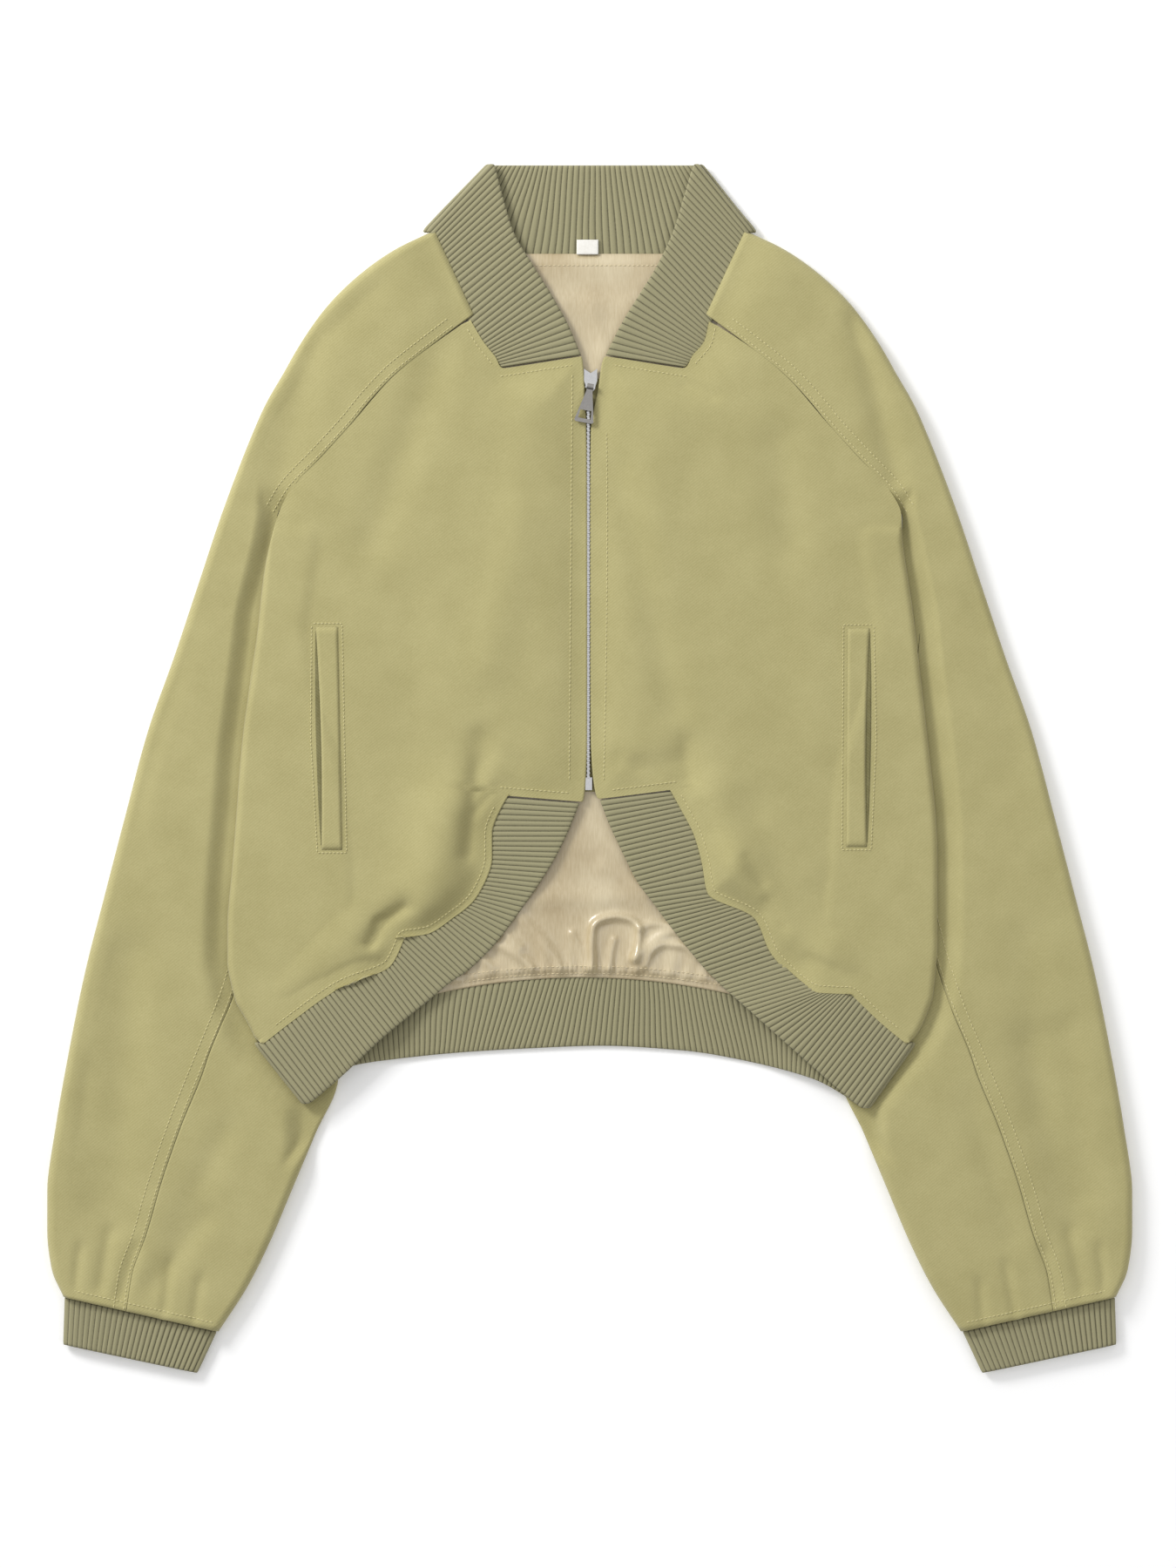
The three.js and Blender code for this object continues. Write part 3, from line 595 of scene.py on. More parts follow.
def metal_material(name, dark, light):
    """Nickel-plated zinc, die cast and tumbled: bright, with faint wear in its gloss."""
    material, tree, shader = new_material(name)
    place = add(tree, "ShaderNodeTexCoord").outputs["Object"]
    wear = add(tree, "ShaderNodeTexNoise", {"Vector": place}, Scale=1 / (2.0 * MM), Detail=4.0)
    gloss = add(tree, "ShaderNodeMapRange", {"Value": wear.outputs["Fac"]}, To_Min=0.18, To_Max=0.26)
    tree.links.new(gloss.outputs["Result"], shader.inputs["Roughness"])
    coloured(tree, shader, wear.outputs["Fac"], 0, dark, 1, light)
    shader.inputs["Metallic"].default_value = 1.0
    return material


# Brushed cotton twill, piece-dyed sage: a matt, slightly mottled ground with a nap that lights its edges.
# Its twill lines are 0.6 mm apart and drawn at 1.6 mm, so that they show at all.
TWILL = cloth_material("cotton_twill", "#A69E6A", "#B9B17D", 1.6, 0.9, 0.88, 0.25, 0.35, 26.0)
# The same twill painted darker as shade, for the shaded gap inside the pocket mouths.
TWILL_MOUTH_SHADE = cloth_material("twill_painted_mouth_shade", "#6E683F", "#85805A", 1.6, -0.9, 0.95, 0.0, 0.3, 9.0)
# Woven polyester zip tape and label, flat and dull.
TAPE = cloth_material("polyester_tape", "#8F8758", "#A29A6B", 1.0, 0.0, 0.8, 0.0, 0.3, 5.0)
LABEL = cloth_material("woven_label", "#E4E1D8", "#F6F4EE", 0.8, 0.0, 0.6, 0.0, 0.3, 5.0)
# Spun polyester sewing thread, paler than the twill that it sews.
THREAD = cloth_material("sewing_thread", "#C3BA86", "#D8D0A0", 0.5, 0.5, 0.6, 0.0, 0.2, 3.0)
LINING_THREAD = cloth_material("lining_thread", "#CFC09A", "#E2D5B2", 0.5, 0.5, 0.5, 0.0, 0.2, 3.0)
SATIN = satin_material()
RIB = rib_material()
METAL = metal_material("nickel_plated_zinc", "#D4D4D6", "#EAEAEA")
# The same plating as a darker copy for the flat of the tab: painted shade, which makes it look greyer.
TAB_METAL_SHADED = metal_material("nickel_plate_shaded_copy", "#9E9B98", "#B2AFAB")


def sleeve_grid(side, first, share_from_edge, under):
    """A sleeve piece as a C: over the top from a seam, round the edge in a half circle, and back below.

    Each rung is a line in plan; height follows sleeve_top, easing into a half circle at the edge.
    """
    per, tops, turns, lows = 8, 64, 12, 10
    rows = {k: through(SLEEVE[k][first:], per) for k in SLEEVE}
    share = through(share_from_edge[first:], per)[:, None]
    outer = np.stack([-side * rows["outerX"], rows["outerY"]], -1)
    inner = np.stack([-side * rows["topX"], rows["topY"]], -1)
    below = np.stack([-side * rows["lowX"], rows["lowY"]], -1)
    edge, top, low = (inner, outer, outer) if under else (outer, inner, below)
    top_reach = np.hypot(*(top - edge).T)[:, None]
    low_reach = np.hypot(*(low - edge).T)[:, None]
    room = np.minimum(top_reach, low_reach) * share
    half_top = (sleeve_top(edge[:, 0], edge[:, 1]) / 2)[:, None]
    radius = np.minimum(half_top, np.maximum(0.9 * room, LEAST_ROUND))

    def spot(end, far):
        part = far / np.hypot(*(end - edge).T)[:, None]
        return mix(edge[:, None, 0], end[:, None, 0], part), mix(edge[:, None, 1], end[:, None, 1], part)

    at = np.arange(len(share))[:, None] / per
    tucked = 0 if under else smooth((at - TUCK_FROM) / 0.6) * smooth((TUCK_TO - at) / 1.5)
    top_end = np.maximum(top_reach * share - SEAM_GAP + TUCK * tucked, radius + LEAST_RUN)
    low_end = np.maximum(low_reach * share - SEAM_GAP, radius + LEAST_RUN)
    far = mix(top_end, radius, np.linspace(0, 1, tops)[None, :])
    x, y = spot(top, far)
    z = mix(2 * radius, sleeve_top(x, y), smooth((far - radius) / 12))
    angle = np.radians(np.linspace(80, -80, turns))[None, :]
    bx, by = spot(top, radius * (1 - np.cos(angle)))
    bz = radius * (1 + np.sin(angle))
    lx, ly = spot(low, mix(radius, low_end, np.linspace(0, 1, lows)[None, :]))
    columns = [x, bx, lx], [y, by, ly], [z, bz, np.zeros_like(lx)]
    return np.stack([np.hstack(parts) for parts in columns], -1)


def front_grid(rows):
    """One front: rungs from the middle edges to the armhole and side, following the crown.

    Below the armpit it makes a quarter turn down at the side edge.
    """
    per, across, turns = 9, 84, 8
    in_x, in_y, out_x, out_y = (through(rows[k], per) for k in ("inX", "inY", "outX", "outY"))
    reach = np.hypot(out_x - in_x, out_y - in_y)
    curled = smooth((np.arange(len(in_x)) / per - CURL_FROM) / 1.2)
    drop = curled * np.minimum(5, reach / 3)
    share = np.linspace(0, 1, across) ** 1.15
    share = share[None, :] * (1 - (drop + 0.4) / reach)[:, None]
    x = mix(in_x[:, None], out_x[:, None], share)
    y = mix(in_y[:, None], out_y[:, None], share)
    z = front_top(x, y)
    foot = lift(out_x, out_y) + SHELL + GAP + 0.5
    angle = np.radians(np.linspace(80, 10, turns))[None, :]
    turn = 1 - (drop[:, None] * (1 - np.cos(angle)) + 0.02) / reach[:, None]
    flat = 1 - (0.3 - 0.02 * np.arange(turns)[None, :]) / reach[:, None]
    end = np.where(curled[:, None] > 0.5, turn, flat)
    cx = mix(in_x[:, None], out_x[:, None], end)
    cy = mix(in_y[:, None], out_y[:, None], end)
    cz = mix(z[:, -1:], mix(foot[:, None], z[:, -1:], np.sin(angle)), curled[:, None])
    return np.stack([np.hstack([x, cx]), np.hstack([y, cy]), np.hstack([z, cz])], -1)


def back_rows(per, share, inset):
    """The back in plan: straight rows from side to side whose middle rises as a parabola towards the hem."""
    rows = {k: through(BACK[k], per) for k in BACK}
    share = share[None, :]
    x = mix(rows["leftX"][:, None] + inset, rows["rightX"][:, None] - inset, share)
    y = rows["leftY"][:, None] + rows["rise"][:, None] * 4 * share * (1 - share)
    return x, y


def back_grid():
    x, y = back_rows(8, np.linspace(0, 1, 120), 0)
    ease = np.round(lift(x, y), 6)
    return np.stack([x, y, ease + SHELL], -1)


# Gathers of the lining along its hem: where each stands, how far up it runs, how high and how wide it is.
GATHERS = table("x reach rise width", [
    [-92, 26, 2.6, 4.0],
    [-80, 20, 2.2, 3.2],
    [-69, 30, 3.0, 4.2],
    [-58, 18, 2.0, 3.0],
    [-49, 34, 3.0, 4.4],
    [-39, 22, 2.4, 3.4],
    [-31, 28, 2.8, 3.6],
    [-21, 17, 2.4, 3.0],
    [-12, 24, 2.4, 3.4],
    [0, 40, 4.0, 3.6],
    [12, 30, 3.0, 4.0],
    [22, 18, 2.2, 3.2],
    [31, 30, 4.2, 3.8],
    [43, 24, 2.6, 4.2],
    [54, 32, 3.0, 4.6],
    [66, 20, 2.4, 3.4],
    [77, 30, 2.8, 4.4],
    [89, 22, 2.2, 3.4],
    [100, 26, 2.4, 4.0],
])
# Creases and loops of the lining: width, rise, and the points that each runs through.
LINING_CURVES = [
    (3.2, 3.4, [2, 1, 2, 8, 18, 28, 34, 33, 30], [-138, -121, -110, -104, -102, -104, -111, -121, -131]),
    (5.0, 2.6, [-52, -42, -32, -20], [-98, -109, -121, -137]),
    (4.0, 1.8, [-61, -55, -48], [-110, -117, -123]),
    (3.6, 2.2, [-70, -60, -50, -40], [-119, -123, -129, -137]),
    (8.0, 1.6, [-44, -20, 8, 38], [-92, -89, -90, -87]),
    (4.2, 2.6, [33, 42, 52, 66], [-130, -121, -114, -110]),
    (3.2, 1.8, [34, 44, 54, 68], [-110, -107, -108, -106]),
    (3.0, 2.4, [38, 43, 52, 64, 74], [-136, -126, -121, -122, -129]),
    (4.0, 2.0, [-92, -80, -66], [-122, -127, -137]),
    (6.0, 1.2, [10, 24, 40], [-68, -76, -82]),
    (9.0, 0.9, [-22, 0, 20], [-48, -53, -58]),
    (3.2, 1.8, [-12, -7, -3], [-114, -124, -138]),
    (2.8, 1.8, [17, 15, 14], [-118, -127, -138]),
    (6.0, 1.2, [-30, 0, 40], [322, 318, 318]),
    (2.4, -0.8, [-30, 0, 34], [331, 332, 334]),
    (6.0, 1.1, [0, 7, 10], [316, 300, 284]),
    (6.0, 0.9, [-26, -18, -8], [302, 290, 278]),
    (6.0, 0.9, [26, 18, 12], [312, 300, 288]),
]


def hem_line(x):
    """The y of the lining's hem seam: a parabola from side to side."""
    share = np.clip((x - HEM_LEFT_X) / HEM_WIDTH, 0, 1)
    return HEM_Y + HEM_RISE * 4 * share * (1 - share)


def lining_height(x, y):
    """Height of the lining: just over the back, plus a ridge for each fold and gathers at the hem."""
    z = np.full(x.shape, SHELL + 1.5 * GAP + LINING)
    shown = smooth((118 - np.abs(x - 4)) / 24)
    for width, rise, px, py in LINING_CURVES:
        gap = to_line(x, y, through(np.array(px, float), 4), through(np.array(py, float), 4))
        z = z + shown * rise * np.exp(-((gap / width) ** 2))
    above = y - (hem_line(x) + 1.5)
    for k, (at, reach, rise, width) in enumerate(zip(*GATHERS.values())):
        lean = at * (1 + above / 260) + 3 * np.sin(k * 2.3) * above / 30
        fan = np.exp(-(((x - lean) / (width * (1 + above / 30))) ** 2))
        z = z + 0.8 * shown * rise * fan * np.exp(-((above / reach) ** 2)) * smooth(above / 5)
    pucker = np.abs(np.sin(np.pi * (x + 2 * np.sin(x / 9)) / 3.3)) ** 0.7
    z = z + 0.7 * shown * pucker * np.exp(-(((above - 4.5) / 3.2) ** 2))
    return z


def lining_grid():
    """The lining: the back's rows, drawn in at the sides, at the lining's own height."""
    across = np.linspace(-1, 1, 400)
    share = 0.5 + across * (0.35 + 0.65 * across**2) / 2
    places = np.append(np.linspace(0, 11, 46)[:-1], np.linspace(11, 14, 74))
    x, y = back_rows(places, share, 20)
    y = y + 3 * smooth((y - 335) / 16) - 2 * smooth((8 - (y - y.min(axis=0)[None])) / 8)
    return np.stack([x, y, lining_height(x, y) + lift(x, y)], -1)


def ridge_profile(length, pitch, per):
    """Rounded knit columns: the height along the band is the square root of a rectified sine."""
    count = max(1, round(length / pitch))
    t = np.linspace(0, count, count * per + 1)
    return np.sqrt(np.abs(np.sin(np.pi * t))), t / count


def folded_rungs(rows, first_fold, last_fold, out):
    """Band rungs as seam and free points: high before and after the folds, low between them."""
    seams, frees = [], []
    ground = np.maximum(lift(rows["seamX"], rows["seamY"]), lift(rows["freeX"], rows["freeY"]))
    back = ground + BAND_BACK_Z
    front = np.maximum(BAND_TOP_Z, back + 2 * RIB_BAND)
    for i in range(len(rows["seamX"])):
        mid = (front[i] + back[i]) / 2
        if i == first_fold:
            places = [(0, front[i]), (-0.7 * out, mix(front[i], mid, 0.6)), (-out, mid)]
            places += [(-0.7 * out, mix(back[i], mid, 0.6)), (0, back[i])]
        elif i == last_fold:
            places = [(0, back[i]), (0.7 * out, mix(back[i], mid, 0.6)), (out, mid)]
            places += [(0.7 * out, mix(front[i], mid, 0.6)), (0, front[i])]
        else:
            places = [(0, back[i] if first_fold < i < last_fold else front[i])]
        for shift, z in places:
            seams.append((rows["seamX"][i] + shift, rows["seamY"][i], z))
            frees.append((rows["freeX"][i] + shift, rows["freeY"][i], z))
    return np.array(seams), np.array(frees)


def put_knit(name, points, faces, ridge, shape):
    """A rib piece in place of its node, each point carrying the height of its knit column."""
    piece = put_mesh(name + "_knit", points, faces, RIB)
    carried = np.tile(np.broadcast_to(ridge, shape).ravel(), 2).astype(np.float32)
    piece.data.attributes.new("ridge", "FLOAT", "POINT").data.foreach_set("value", carried)
    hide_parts(name)
    return piece


def rib_band(name, rows, first_fold, last_fold, pitch):
    """A folded band of rib knit: smooth curves along its seam and free edge, with straight rungs between.

    Both faces move out along the normal by the knit's ridges, which fade at the two edges.
    """
    seams, frees = folded_rungs(rows, first_fold, last_fold, FOLD_OUT)
    dense = 40
    seam = np.stack([through(seams[:, k], dense) for k in range(3)], -1)
    free = np.stack([through(frees[:, k], dense) for k in range(3)], -1)
    step = np.linalg.norm(np.diff((seam + 2 * free) / 3, axis=0), axis=1)
    run = np.append(0, np.cumsum(step))
    ridge, share = ridge_profile(run[-1], pitch, 6)
    spots = share * run[-1]
    seam, free = (
        np.stack([np.interp(spots, run, line[:, k]) for k in range(3)], -1) for line in (seam, free)
    )
    way = seam[:, :2] - free[:, :2]
    seam[:, :2] += UNDERLAP * way / np.maximum(np.linalg.norm(way, axis=1, keepdims=True), 1e-9)
    seam[:, 2] -= 1.4 * smooth((seam[:, 2] - 5) / 1.5)
    across = np.array([0.012, 0.03, 0.08, 0.2, 0.35, 0.5, 0.65, 0.8, 0.92, 0.975, 1.0])
    middle = mix(seam[:, None], free[:, None], across[None, :, None])
    sway = 0.5 * np.sin(across * 5)[None, :] * np.sin(share * 60)[:, None]
    middle[..., 0] += sway * (np.abs(share - 0.5) < 0.2)[:, None]
    normal = grid_normals(middle)
    edge = np.sqrt(np.clip(np.minimum(across / 0.05, (1.012 - across) / 0.04), 0.25, 1))[None, :]
    half = (RIB_BAND / 2 - RIB_DEPTH * (1 - ridge[:, None])) * edge
    points, faces = closed_wall(middle + normal * half[..., None], middle - normal * half[..., None])
    piece = put_knit(name, points, faces, ridge[:, None], half.shape)


def cuff(name, side):
    """A cuff: a flattened tube round a long oval, its outside ridged by the knit over a plain inside."""
    seam_a, seam_b = np.array([-362, -363.6]), np.array([-255.7, -387.7])
    free_a, free_b = np.array([-363, -396]), np.array([-269, -416])
    radius = 4.0
    length = np.hypot(*(seam_b - seam_a))
    ridge, share = ridge_profile(2 * length, CUFF_PITCH, 6)
    ridge, share = ridge[:-1], share[:-1]
    down = np.array([0, 0.04, 0.1, 0.25, 0.45, 0.65, 0.82, 0.94, 1.0])
    a = mix(seam_a[None], free_a[None], down[:, None])
    b = mix(seam_b[None], free_b[None], down[:, None])
    width = np.hypot(*(b - a).T)[:, None]
    way = (b - a) / width
    along = np.where(share < 0.5, 1 - 4 * share, 4 * share - 3)
    high = np.where(share < 0.5, 1, -1) * np.sqrt(1 - np.abs(along) ** 8)
    edge = np.sqrt(np.clip(np.minimum(down / 0.05 + 0.4, (1.02 - down) / 0.05), 0.2, 1))[:, None]

    def skin(inset):
        reach = along[None] * (width / 2 - inset)
        x, y = ((a[:, None, k] + b[:, None, k]) / 2 + way[:, None, k] * reach for k in (0, 1))
        return np.stack([-side * x, y, radius + high[None] * (radius - inset)], -1)

    outer = skin(RIB_DEPTH * (1 - ridge[None]) + 0.8 * (1 - edge))
    inner = skin(np.full(outer.shape[:2], CUFF_WALL))
    points, faces = closed_wall(outer, inner, ring=True)
    piece = put_knit(name, points, faces, ridge[None], outer.shape[:2])


def offset_line(x, y, off):
    """A line moved sideways by off, along the normals of its own direction."""
    dx, dy = np.gradient(x), np.gradient(y)
    size = np.maximum(np.hypot(dx, dy), 1e-9)
    return x - dy / size * off, y + dx / size * off


def stitch_row(name, x, y, height, pitch=3.0, long=2.3, radius=0.32, material=None):
    """A row of stitches along a line in plan, each a small six-sided capsule in the cloth's surface."""
    run = np.append(0, np.cumsum(np.hypot(np.diff(x), np.diff(y))))
    start = np.arange(pitch / 2, run[-1] - pitch / 2, pitch)
    ends = [start, start + long]
    ex = [np.interp(s, run, x) for s in ends]
    ey = [np.interp(s, run, y) for s in ends]
    ez = [height(px, py) for px, py in zip(ex, ey)]
    a = np.stack([ex[0], ey[0], ez[0]], -1)
    b = np.stack([ex[1], ey[1], ez[1]], -1)
    way = (b - a) / np.maximum(np.linalg.norm(b - a, axis=1, keepdims=True), 1e-9)
    side = np.cross(way, [0, 0, 1])
    side /= np.maximum(np.linalg.norm(side, axis=1, keepdims=True), 1e-9)
    up = np.cross(side, way)
    turn = np.arange(6) * np.pi / 3
    rings = []
    for t, size, sink in ((0, 0.35, -0.2), (0.18, 1, 0), (0.5, 1.15, 0.12), (0.82, 1, 0), (1, 0.35, -0.2)):
        centre = mix(a, b, t) + up * sink
        circle = side[:, None] * np.cos(turn)[None, :, None] + up[:, None] * np.sin(turn)[None, :, None]
        rings.append(centre[:, None] + circle * radius * size)
    points = np.stack(rings, 1)
    starts = 30 * np.arange(len(points))[:, None, None]
    side_faces = grid_faces(5, 6, ring=True)
    caps = np.array([[0, 5, 4, 3], [0, 3, 2, 1], [24, 25, 26, 27], [24, 27, 28, 29]])
    faces = np.concatenate([side_faces, caps])[None] + starts
    piece = put_mesh(name, points.reshape(-1, 3), faces.reshape(-1, 4), material or THREAD)


def zip_teeth(name, x, low, high):
    """Two interlocked rows of metal teeth, left and right in turn, each a small block with a raised head."""
    y = np.arange(low, high, TOOTH_PITCH)
    odd = np.arange(len(y)) % 2
    corner = np.array([[-1, -1], [1, -1], [1, 1], [-1, 1]], float)
    profile = [(1.05, 0.72, 0.0), (1.05, 0.72, 0.9), (0.9, 0.6, 1.3)]
    rings = [corner[None] * np.array([w, l])[None, None] for w, l, _ in profile]
    sway = 0.15 * (1 - 2 * odd)
    points = []
    for ring, (_, _, z) in zip(rings, profile):
        px = x + sway[:, None] + ring[..., 0]
        py = y[:, None] + ring[..., 1]
        pz = np.broadcast_to(TOOTH_Z + z - TOOTH_STAGGER * odd[:, None], px.shape)
        points.append(np.stack([px, py, pz], -1))
    points = np.stack(points, 1)
    side_faces = grid_faces(3, 4, ring=True)
    caps = np.array([[0, 3, 2, 1], [8, 9, 10, 11]])
    faces = np.concatenate([side_faces, caps])[None] + 12 * np.arange(len(y))[:, None, None]
    piece = put_mesh(name + "_teeth", points.reshape(-1, 3), faces.reshape(-1, 4), METAL)
    piece.data.shade_flat()
    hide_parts("zip_chain")


# Pocket welts: both ends of the mouth edge, the x of the same ends on the other edge, the mouth's side.
WELTS = {
    "left": ((-188, 97), (-184, -56), -173, -170, -1),
    "right": ((192, 96), (190, -54), 177, 176, 1),
}
WELT_BOW = 1.6


def welt(side):
    """A pocket welt: a strip a little proud of the front, with rounded long edges and a bow at its mouth."""
    top, low, top_in, low_in, mouth_side = WELTS[side]
    down, across = np.meshgrid(np.linspace(0, 1, 60), np.linspace(0, 1, 14), indexing="ij")
    x = mix(mix(top[0], top_in, across), mix(low[0], low_in, across), down)
    x = x - mouth_side * WELT_BOW * np.sin(np.pi * down) * (1 - across)
    y = mix(top[1], low[1], down)
    rim = np.minimum(np.minimum(across, 1 - across) * 14 / 1.2, np.minimum(down, 1 - down) * 60)
    z = front_top(x, y) + 0.3 + 1.3 * np.sqrt(np.clip(rim, 0, 1))
    grid = np.stack([x, y, z], -1)
    under = grid.copy()
    under[..., 2] = front_top(x, y) + 0.15
    points, faces = closed_wall(grid, under)
    piece = put_mesh(f"pocket_welt_{side}_cloth", points, faces, TWILL)
    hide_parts("pocket_welt_" + side)

    # The mouth's gap: a thin sheet of twill painted dark as the shade inside the pocket, just over the front.
    down, across = np.meshgrid(np.linspace(0.02, 0.98, 60), np.linspace(0, 1, 5), indexing="ij")
    gape = 3.4 * np.sin(np.pi * down) ** 0.8
    x = mix(top[0], low[0], down) + mouth_side * (gape * across - WELT_BOW * np.sin(np.pi * down))
    y = mix(top[1], low[1], down)
    grid = np.stack([x, y, front_top(x, y) + 0.28], -1)
    points, faces = closed_wall(grid, grid - np.array([0, 0, 0.2]))
    mouth = put_mesh("pocket_mouth_shade_" + side, points, faces, TWILL_MOUTH_SHADE)

    off = mouth_side * 3
    middle_x = mix(top[0], low[0], 0.5) + mouth_side * 5.5
    px = np.array([top[0] + off, top_in - off, low_in - off, low[0] + off, middle_x, top[0] + off])
    over, beneath = top[1] + 2.5, low[1] - 2.0
    py = np.array([over, over, beneath, beneath, 20, over])
    stitch_row("pocket_stitches_" + side, px, py, lambda a, b: front_top(a, b) + 0.2, 2.6, 1.9)


def label_piece():
    """A blank woven label, sewn at its top: a thin strip whose free end rises a little as a half cosine."""
    down, across = np.meshgrid(np.linspace(0, 1, 12), np.linspace(0, 1, 14), indexing="ij")
    x = -9 + 15 * across
    y = 363.6 - 10.2 * down
    z = 4.4 + 0.5 * (1 - np.cos(np.pi * down)) / 2 + 0.15 * np.sin(3 * across)
    grid = np.stack([x, y, z], -1)
    points, faces = closed_wall(grid, grid - np.array([0, 0, 0.7]))
    piece = put_mesh("label_cloth", points, faces, LABEL)
    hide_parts("label")


def sleeves():
    for name, side in (("left", -1), ("right", 1)):
        outer = sleeve_grid(side, 0, SEAM_SHARE, False)
        under = sleeve_grid(side, FIRST_UNDER, 1 - SEAM_SHARE, True)
        node = "sleeve_" + name
        cloth(node + "_cloth", outer, CLOTH_WALL, TWILL, node)
        cloth(node + "_under_cloth", under, CLOTH_WALL, TWILL, node + "_under")
        cuff("cuff_" + name, side)


def body_pieces():
    cloth("back_cloth", back_grid(), CLOTH_WALL, TWILL, "back", upright=True)
    lining = lining_grid()
    cloth("lining_cloth", lining, SATIN_WALL, SATIN, "lining_back", upright=True)
    for node, rows in (("front_left", FRONT_LEFT), ("front_right", FRONT_RIGHT)):
        cloth(node + "_cloth", front_grid(rows), FRONT_WALL, TWILL, node)
    rib_band("collar", COLLAR, 6, 12, COLLAR_PITCH)
    rib_band("hem_rib", HEM, 10, 19, HEM_PITCH)
    label_piece()


def seam_stitches():
    """Topstitching: each row is a line set off from a seam of the tables, at the height of its cloth."""
    top = lambda a, b: front_top(a, b) + STITCH_RISE
    sleeve = lambda a, b: sleeve_top(a, b) + STITCH_RISE
    for name, side in (("left", -1), ("right", 1)):
        x, y = through(-side * SLEEVE["topX"][:8], 10), through(SLEEVE["topY"][:8], 10)
        for row, off in (("near", 2.2), ("far", 8.2)):
            sx, sy = offset_line(x, y, side * off)
            stitch_row(f"raglan_stitches_{row}_{name}", sx[4:], sy[4:], sleeve)
        shown = slice(FIRST_SHOWN, None)
        share = SEAM_SHARE[shown]
        x = through(-side * mix(SLEEVE["outerX"][shown], SLEEVE["topX"][shown], share), 10)
        y = through(mix(SLEEVE["outerY"][shown], SLEEVE["topY"][shown], share), 10)
        for row, off in (("near", 2.0), ("far", 9.0)):
            sx, sy = offset_line(x, y, side * off)
            stitch_row(f"sleeve_stitches_{row}_{name}", sx, sy, sleeve)
        cuff_x = np.linspace(-359, -258, 30) * -side
        cuff_y = np.linspace(-357.5, -380.5, 30)
        stitch_row(f"cuff_stitches_{name}", cuff_x, cuff_y, sleeve)
    for name, rows, turn in (("left", FRONT_LEFT, 1), ("right", FRONT_RIGHT, -1)):
        x, y = through(rows["inX"][:4], 12), through(rows["inY"][:4], 12)
        sx, sy = offset_line(x, y, -turn * 5)
        stitch_row(f"collar_stitches_{name}", sx[2:-8], sy[2:-8], top)
        x, y = rows["inX"][3:5], rows["inY"][3:5]
        stitch_row(f"collar_end_stitches_{name}", x + turn * np.array([-4, -6]), y - 6.0, top)
        x, y = through(rows["inX"][13:], 12), through(rows["inY"][13:], 12)
        sx, sy = offset_line(x, y, -turn * 5)
        stitch_row(f"hem_stitches_{name}", sx[4:-6], sy[4:-6], top)
        x, y = rows["inX"][11:13], rows["inY"][11:13]
        stitch_row(f"hem_end_stitches_{name}", x + turn * np.array([-8, -6]), y + 6.0, top)
    placket_y = np.linspace(272, -8, 60)
    stitch_row("placket_stitches_left", -12 - 2.2 * (272 - placket_y) / 280, placket_y, top)
    placket_y = np.linspace(232, -8, 50)
    stitch_row("placket_stitches_right", 9.5 + 2.4 * np.sin((placket_y + 8) / 110), placket_y, top)
    lining = lambda a, b: lining_height(a, b) + 0.1
    x = np.linspace(-120, 120, 120)
    for row, off in (("near", 3.0), ("far", 8.0)):
        stitch_row(f"lining_stitches_{row}", x, hem_line(x) + off, lining, 3.2, 2.3, 0.28, LINING_THREAD)
    x = np.linspace(-46, 50, 60)
    stitch_row("neck_stitches", x, np.full(60, 346.0), lining, 3.2, 2.3, 0.28, LINING_THREAD)


def zip_pieces():
    zip_teeth("zip_chain", -1.0, -6, 256)
    # The pull takes the darker copy of the plating, painted shade.
    worn = {"slider": METAL, "pull": TAB_METAL_SHADED, "box": METAL, "tape_left": TAPE, "tape_right": TAPE}
    for name, material in worn.items():
        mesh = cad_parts["zip_" + name].data
        mesh.materials.clear()
        mesh.materials.append(material)


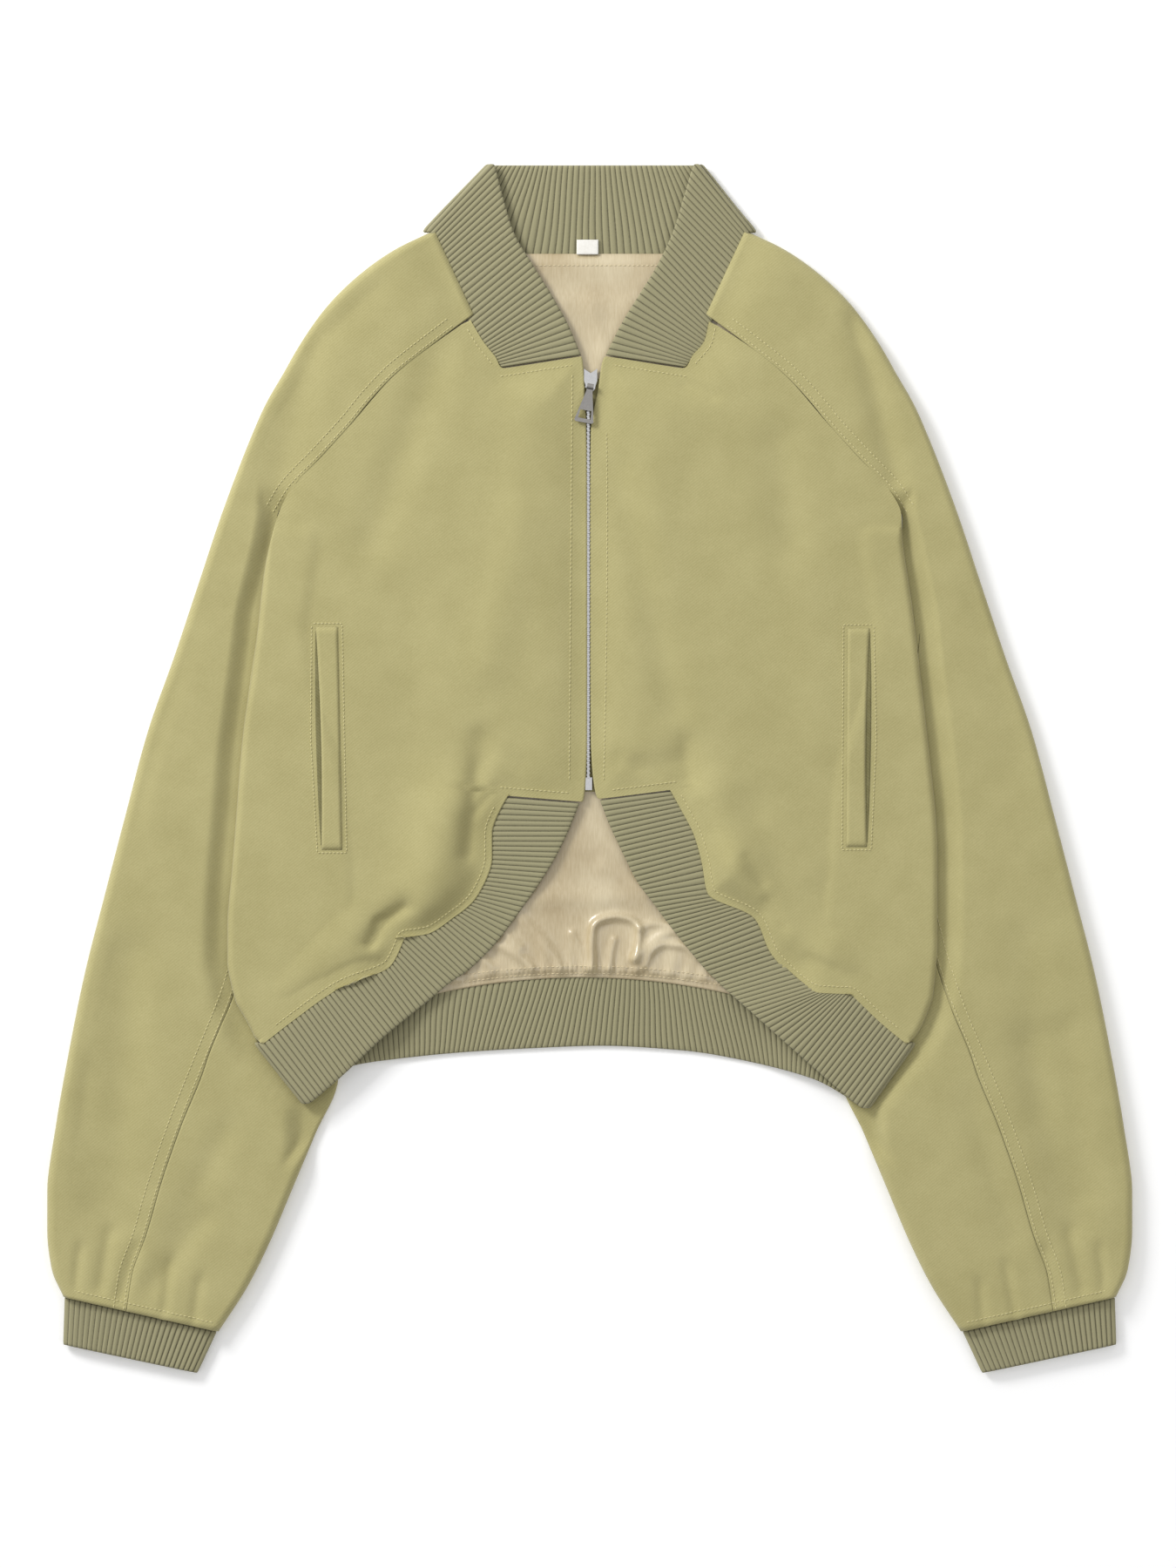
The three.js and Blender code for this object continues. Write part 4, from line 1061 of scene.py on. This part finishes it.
def studio():
    """A pale floor, broad soft light from the upper left, and a long lens straight above, as photographed."""
    bpy.ops.mesh.primitive_plane_add(size=12, location=(0, 0, -0.0005))
    floor = bpy.context.object
    floor.name = "floor"
    material, _, shader = new_material("pale_floor")
    shader.inputs["Base Color"].default_value = linear("#FBFBFB")
    shader.inputs["Roughness"].default_value = 0.9
    shader.inputs["Emission Color"].default_value = (1, 1, 1, 1)
    shader.inputs["Emission Strength"].default_value = 0.12
    floor.data.materials.append(material)

    def panel(name, place, size, power):
        light = bpy.data.lights.new(name, "AREA")
        light.shape = "RECTANGLE"
        light.size, light.size_y = size
        light.energy = power
        lamp = bpy.data.objects.new(name, light)
        lamp.location = place
        aim = -np.array(place)
        tilt = float(np.arctan2(np.hypot(aim[0], aim[1]), -aim[2]))
        lamp.rotation_euler = (tilt, 0.0, float(np.arctan2(aim[1], aim[0]) - np.pi / 2))
        bpy.context.scene.collection.objects.link(lamp)

    panel("key", (-1.7, 1.5, 1.5), (0.8, 0.8), 44)
    panel("fill", (1.8, -0.6, 2.2), (2.5, 2.5), 16)
    world = bpy.data.worlds.new("studio")
    world.use_nodes = True
    tree = world.node_tree
    way = add(tree, "ShaderNodeTexCoord").outputs["Generated"]
    toward = add(tree, "ShaderNodeVectorMath", {0: way}, operation="DOT_PRODUCT")
    toward.inputs[1].default_value = (-0.62, 0.56, 0.55)
    shade = add(
        tree, "ShaderNodeMapRange", {"Value": toward.outputs["Value"]},
        interpolation_type="SMOOTHSTEP", From_Min=-0.35, From_Max=0.95, To_Min=0.16, To_Max=0.9,
    )
    tree.links.new(shade.outputs["Result"], tree.nodes["Background"].inputs["Strength"])
    tree.nodes["Background"].inputs["Color"].default_value = (1, 1, 1, 1)
    bpy.context.scene.world = world

    lens = bpy.data.cameras.new("camera")
    lens.sensor_fit = "VERTICAL"
    height, framed = 3.4, 1.08
    lens.sensor_height = 36
    lens.lens = lens.sensor_height * height / framed
    camera = bpy.data.objects.new("camera", lens)
    camera.location = (-0.0012, -0.0108, height)
    bpy.context.scene.collection.objects.link(camera)
    bpy.context.scene.camera = camera
    bpy.context.scene.view_settings.view_transform = "Standard"


sleeves()
body_pieces()
welt("left")
welt("right")
seam_stitches()
zip_pieces()
studio()
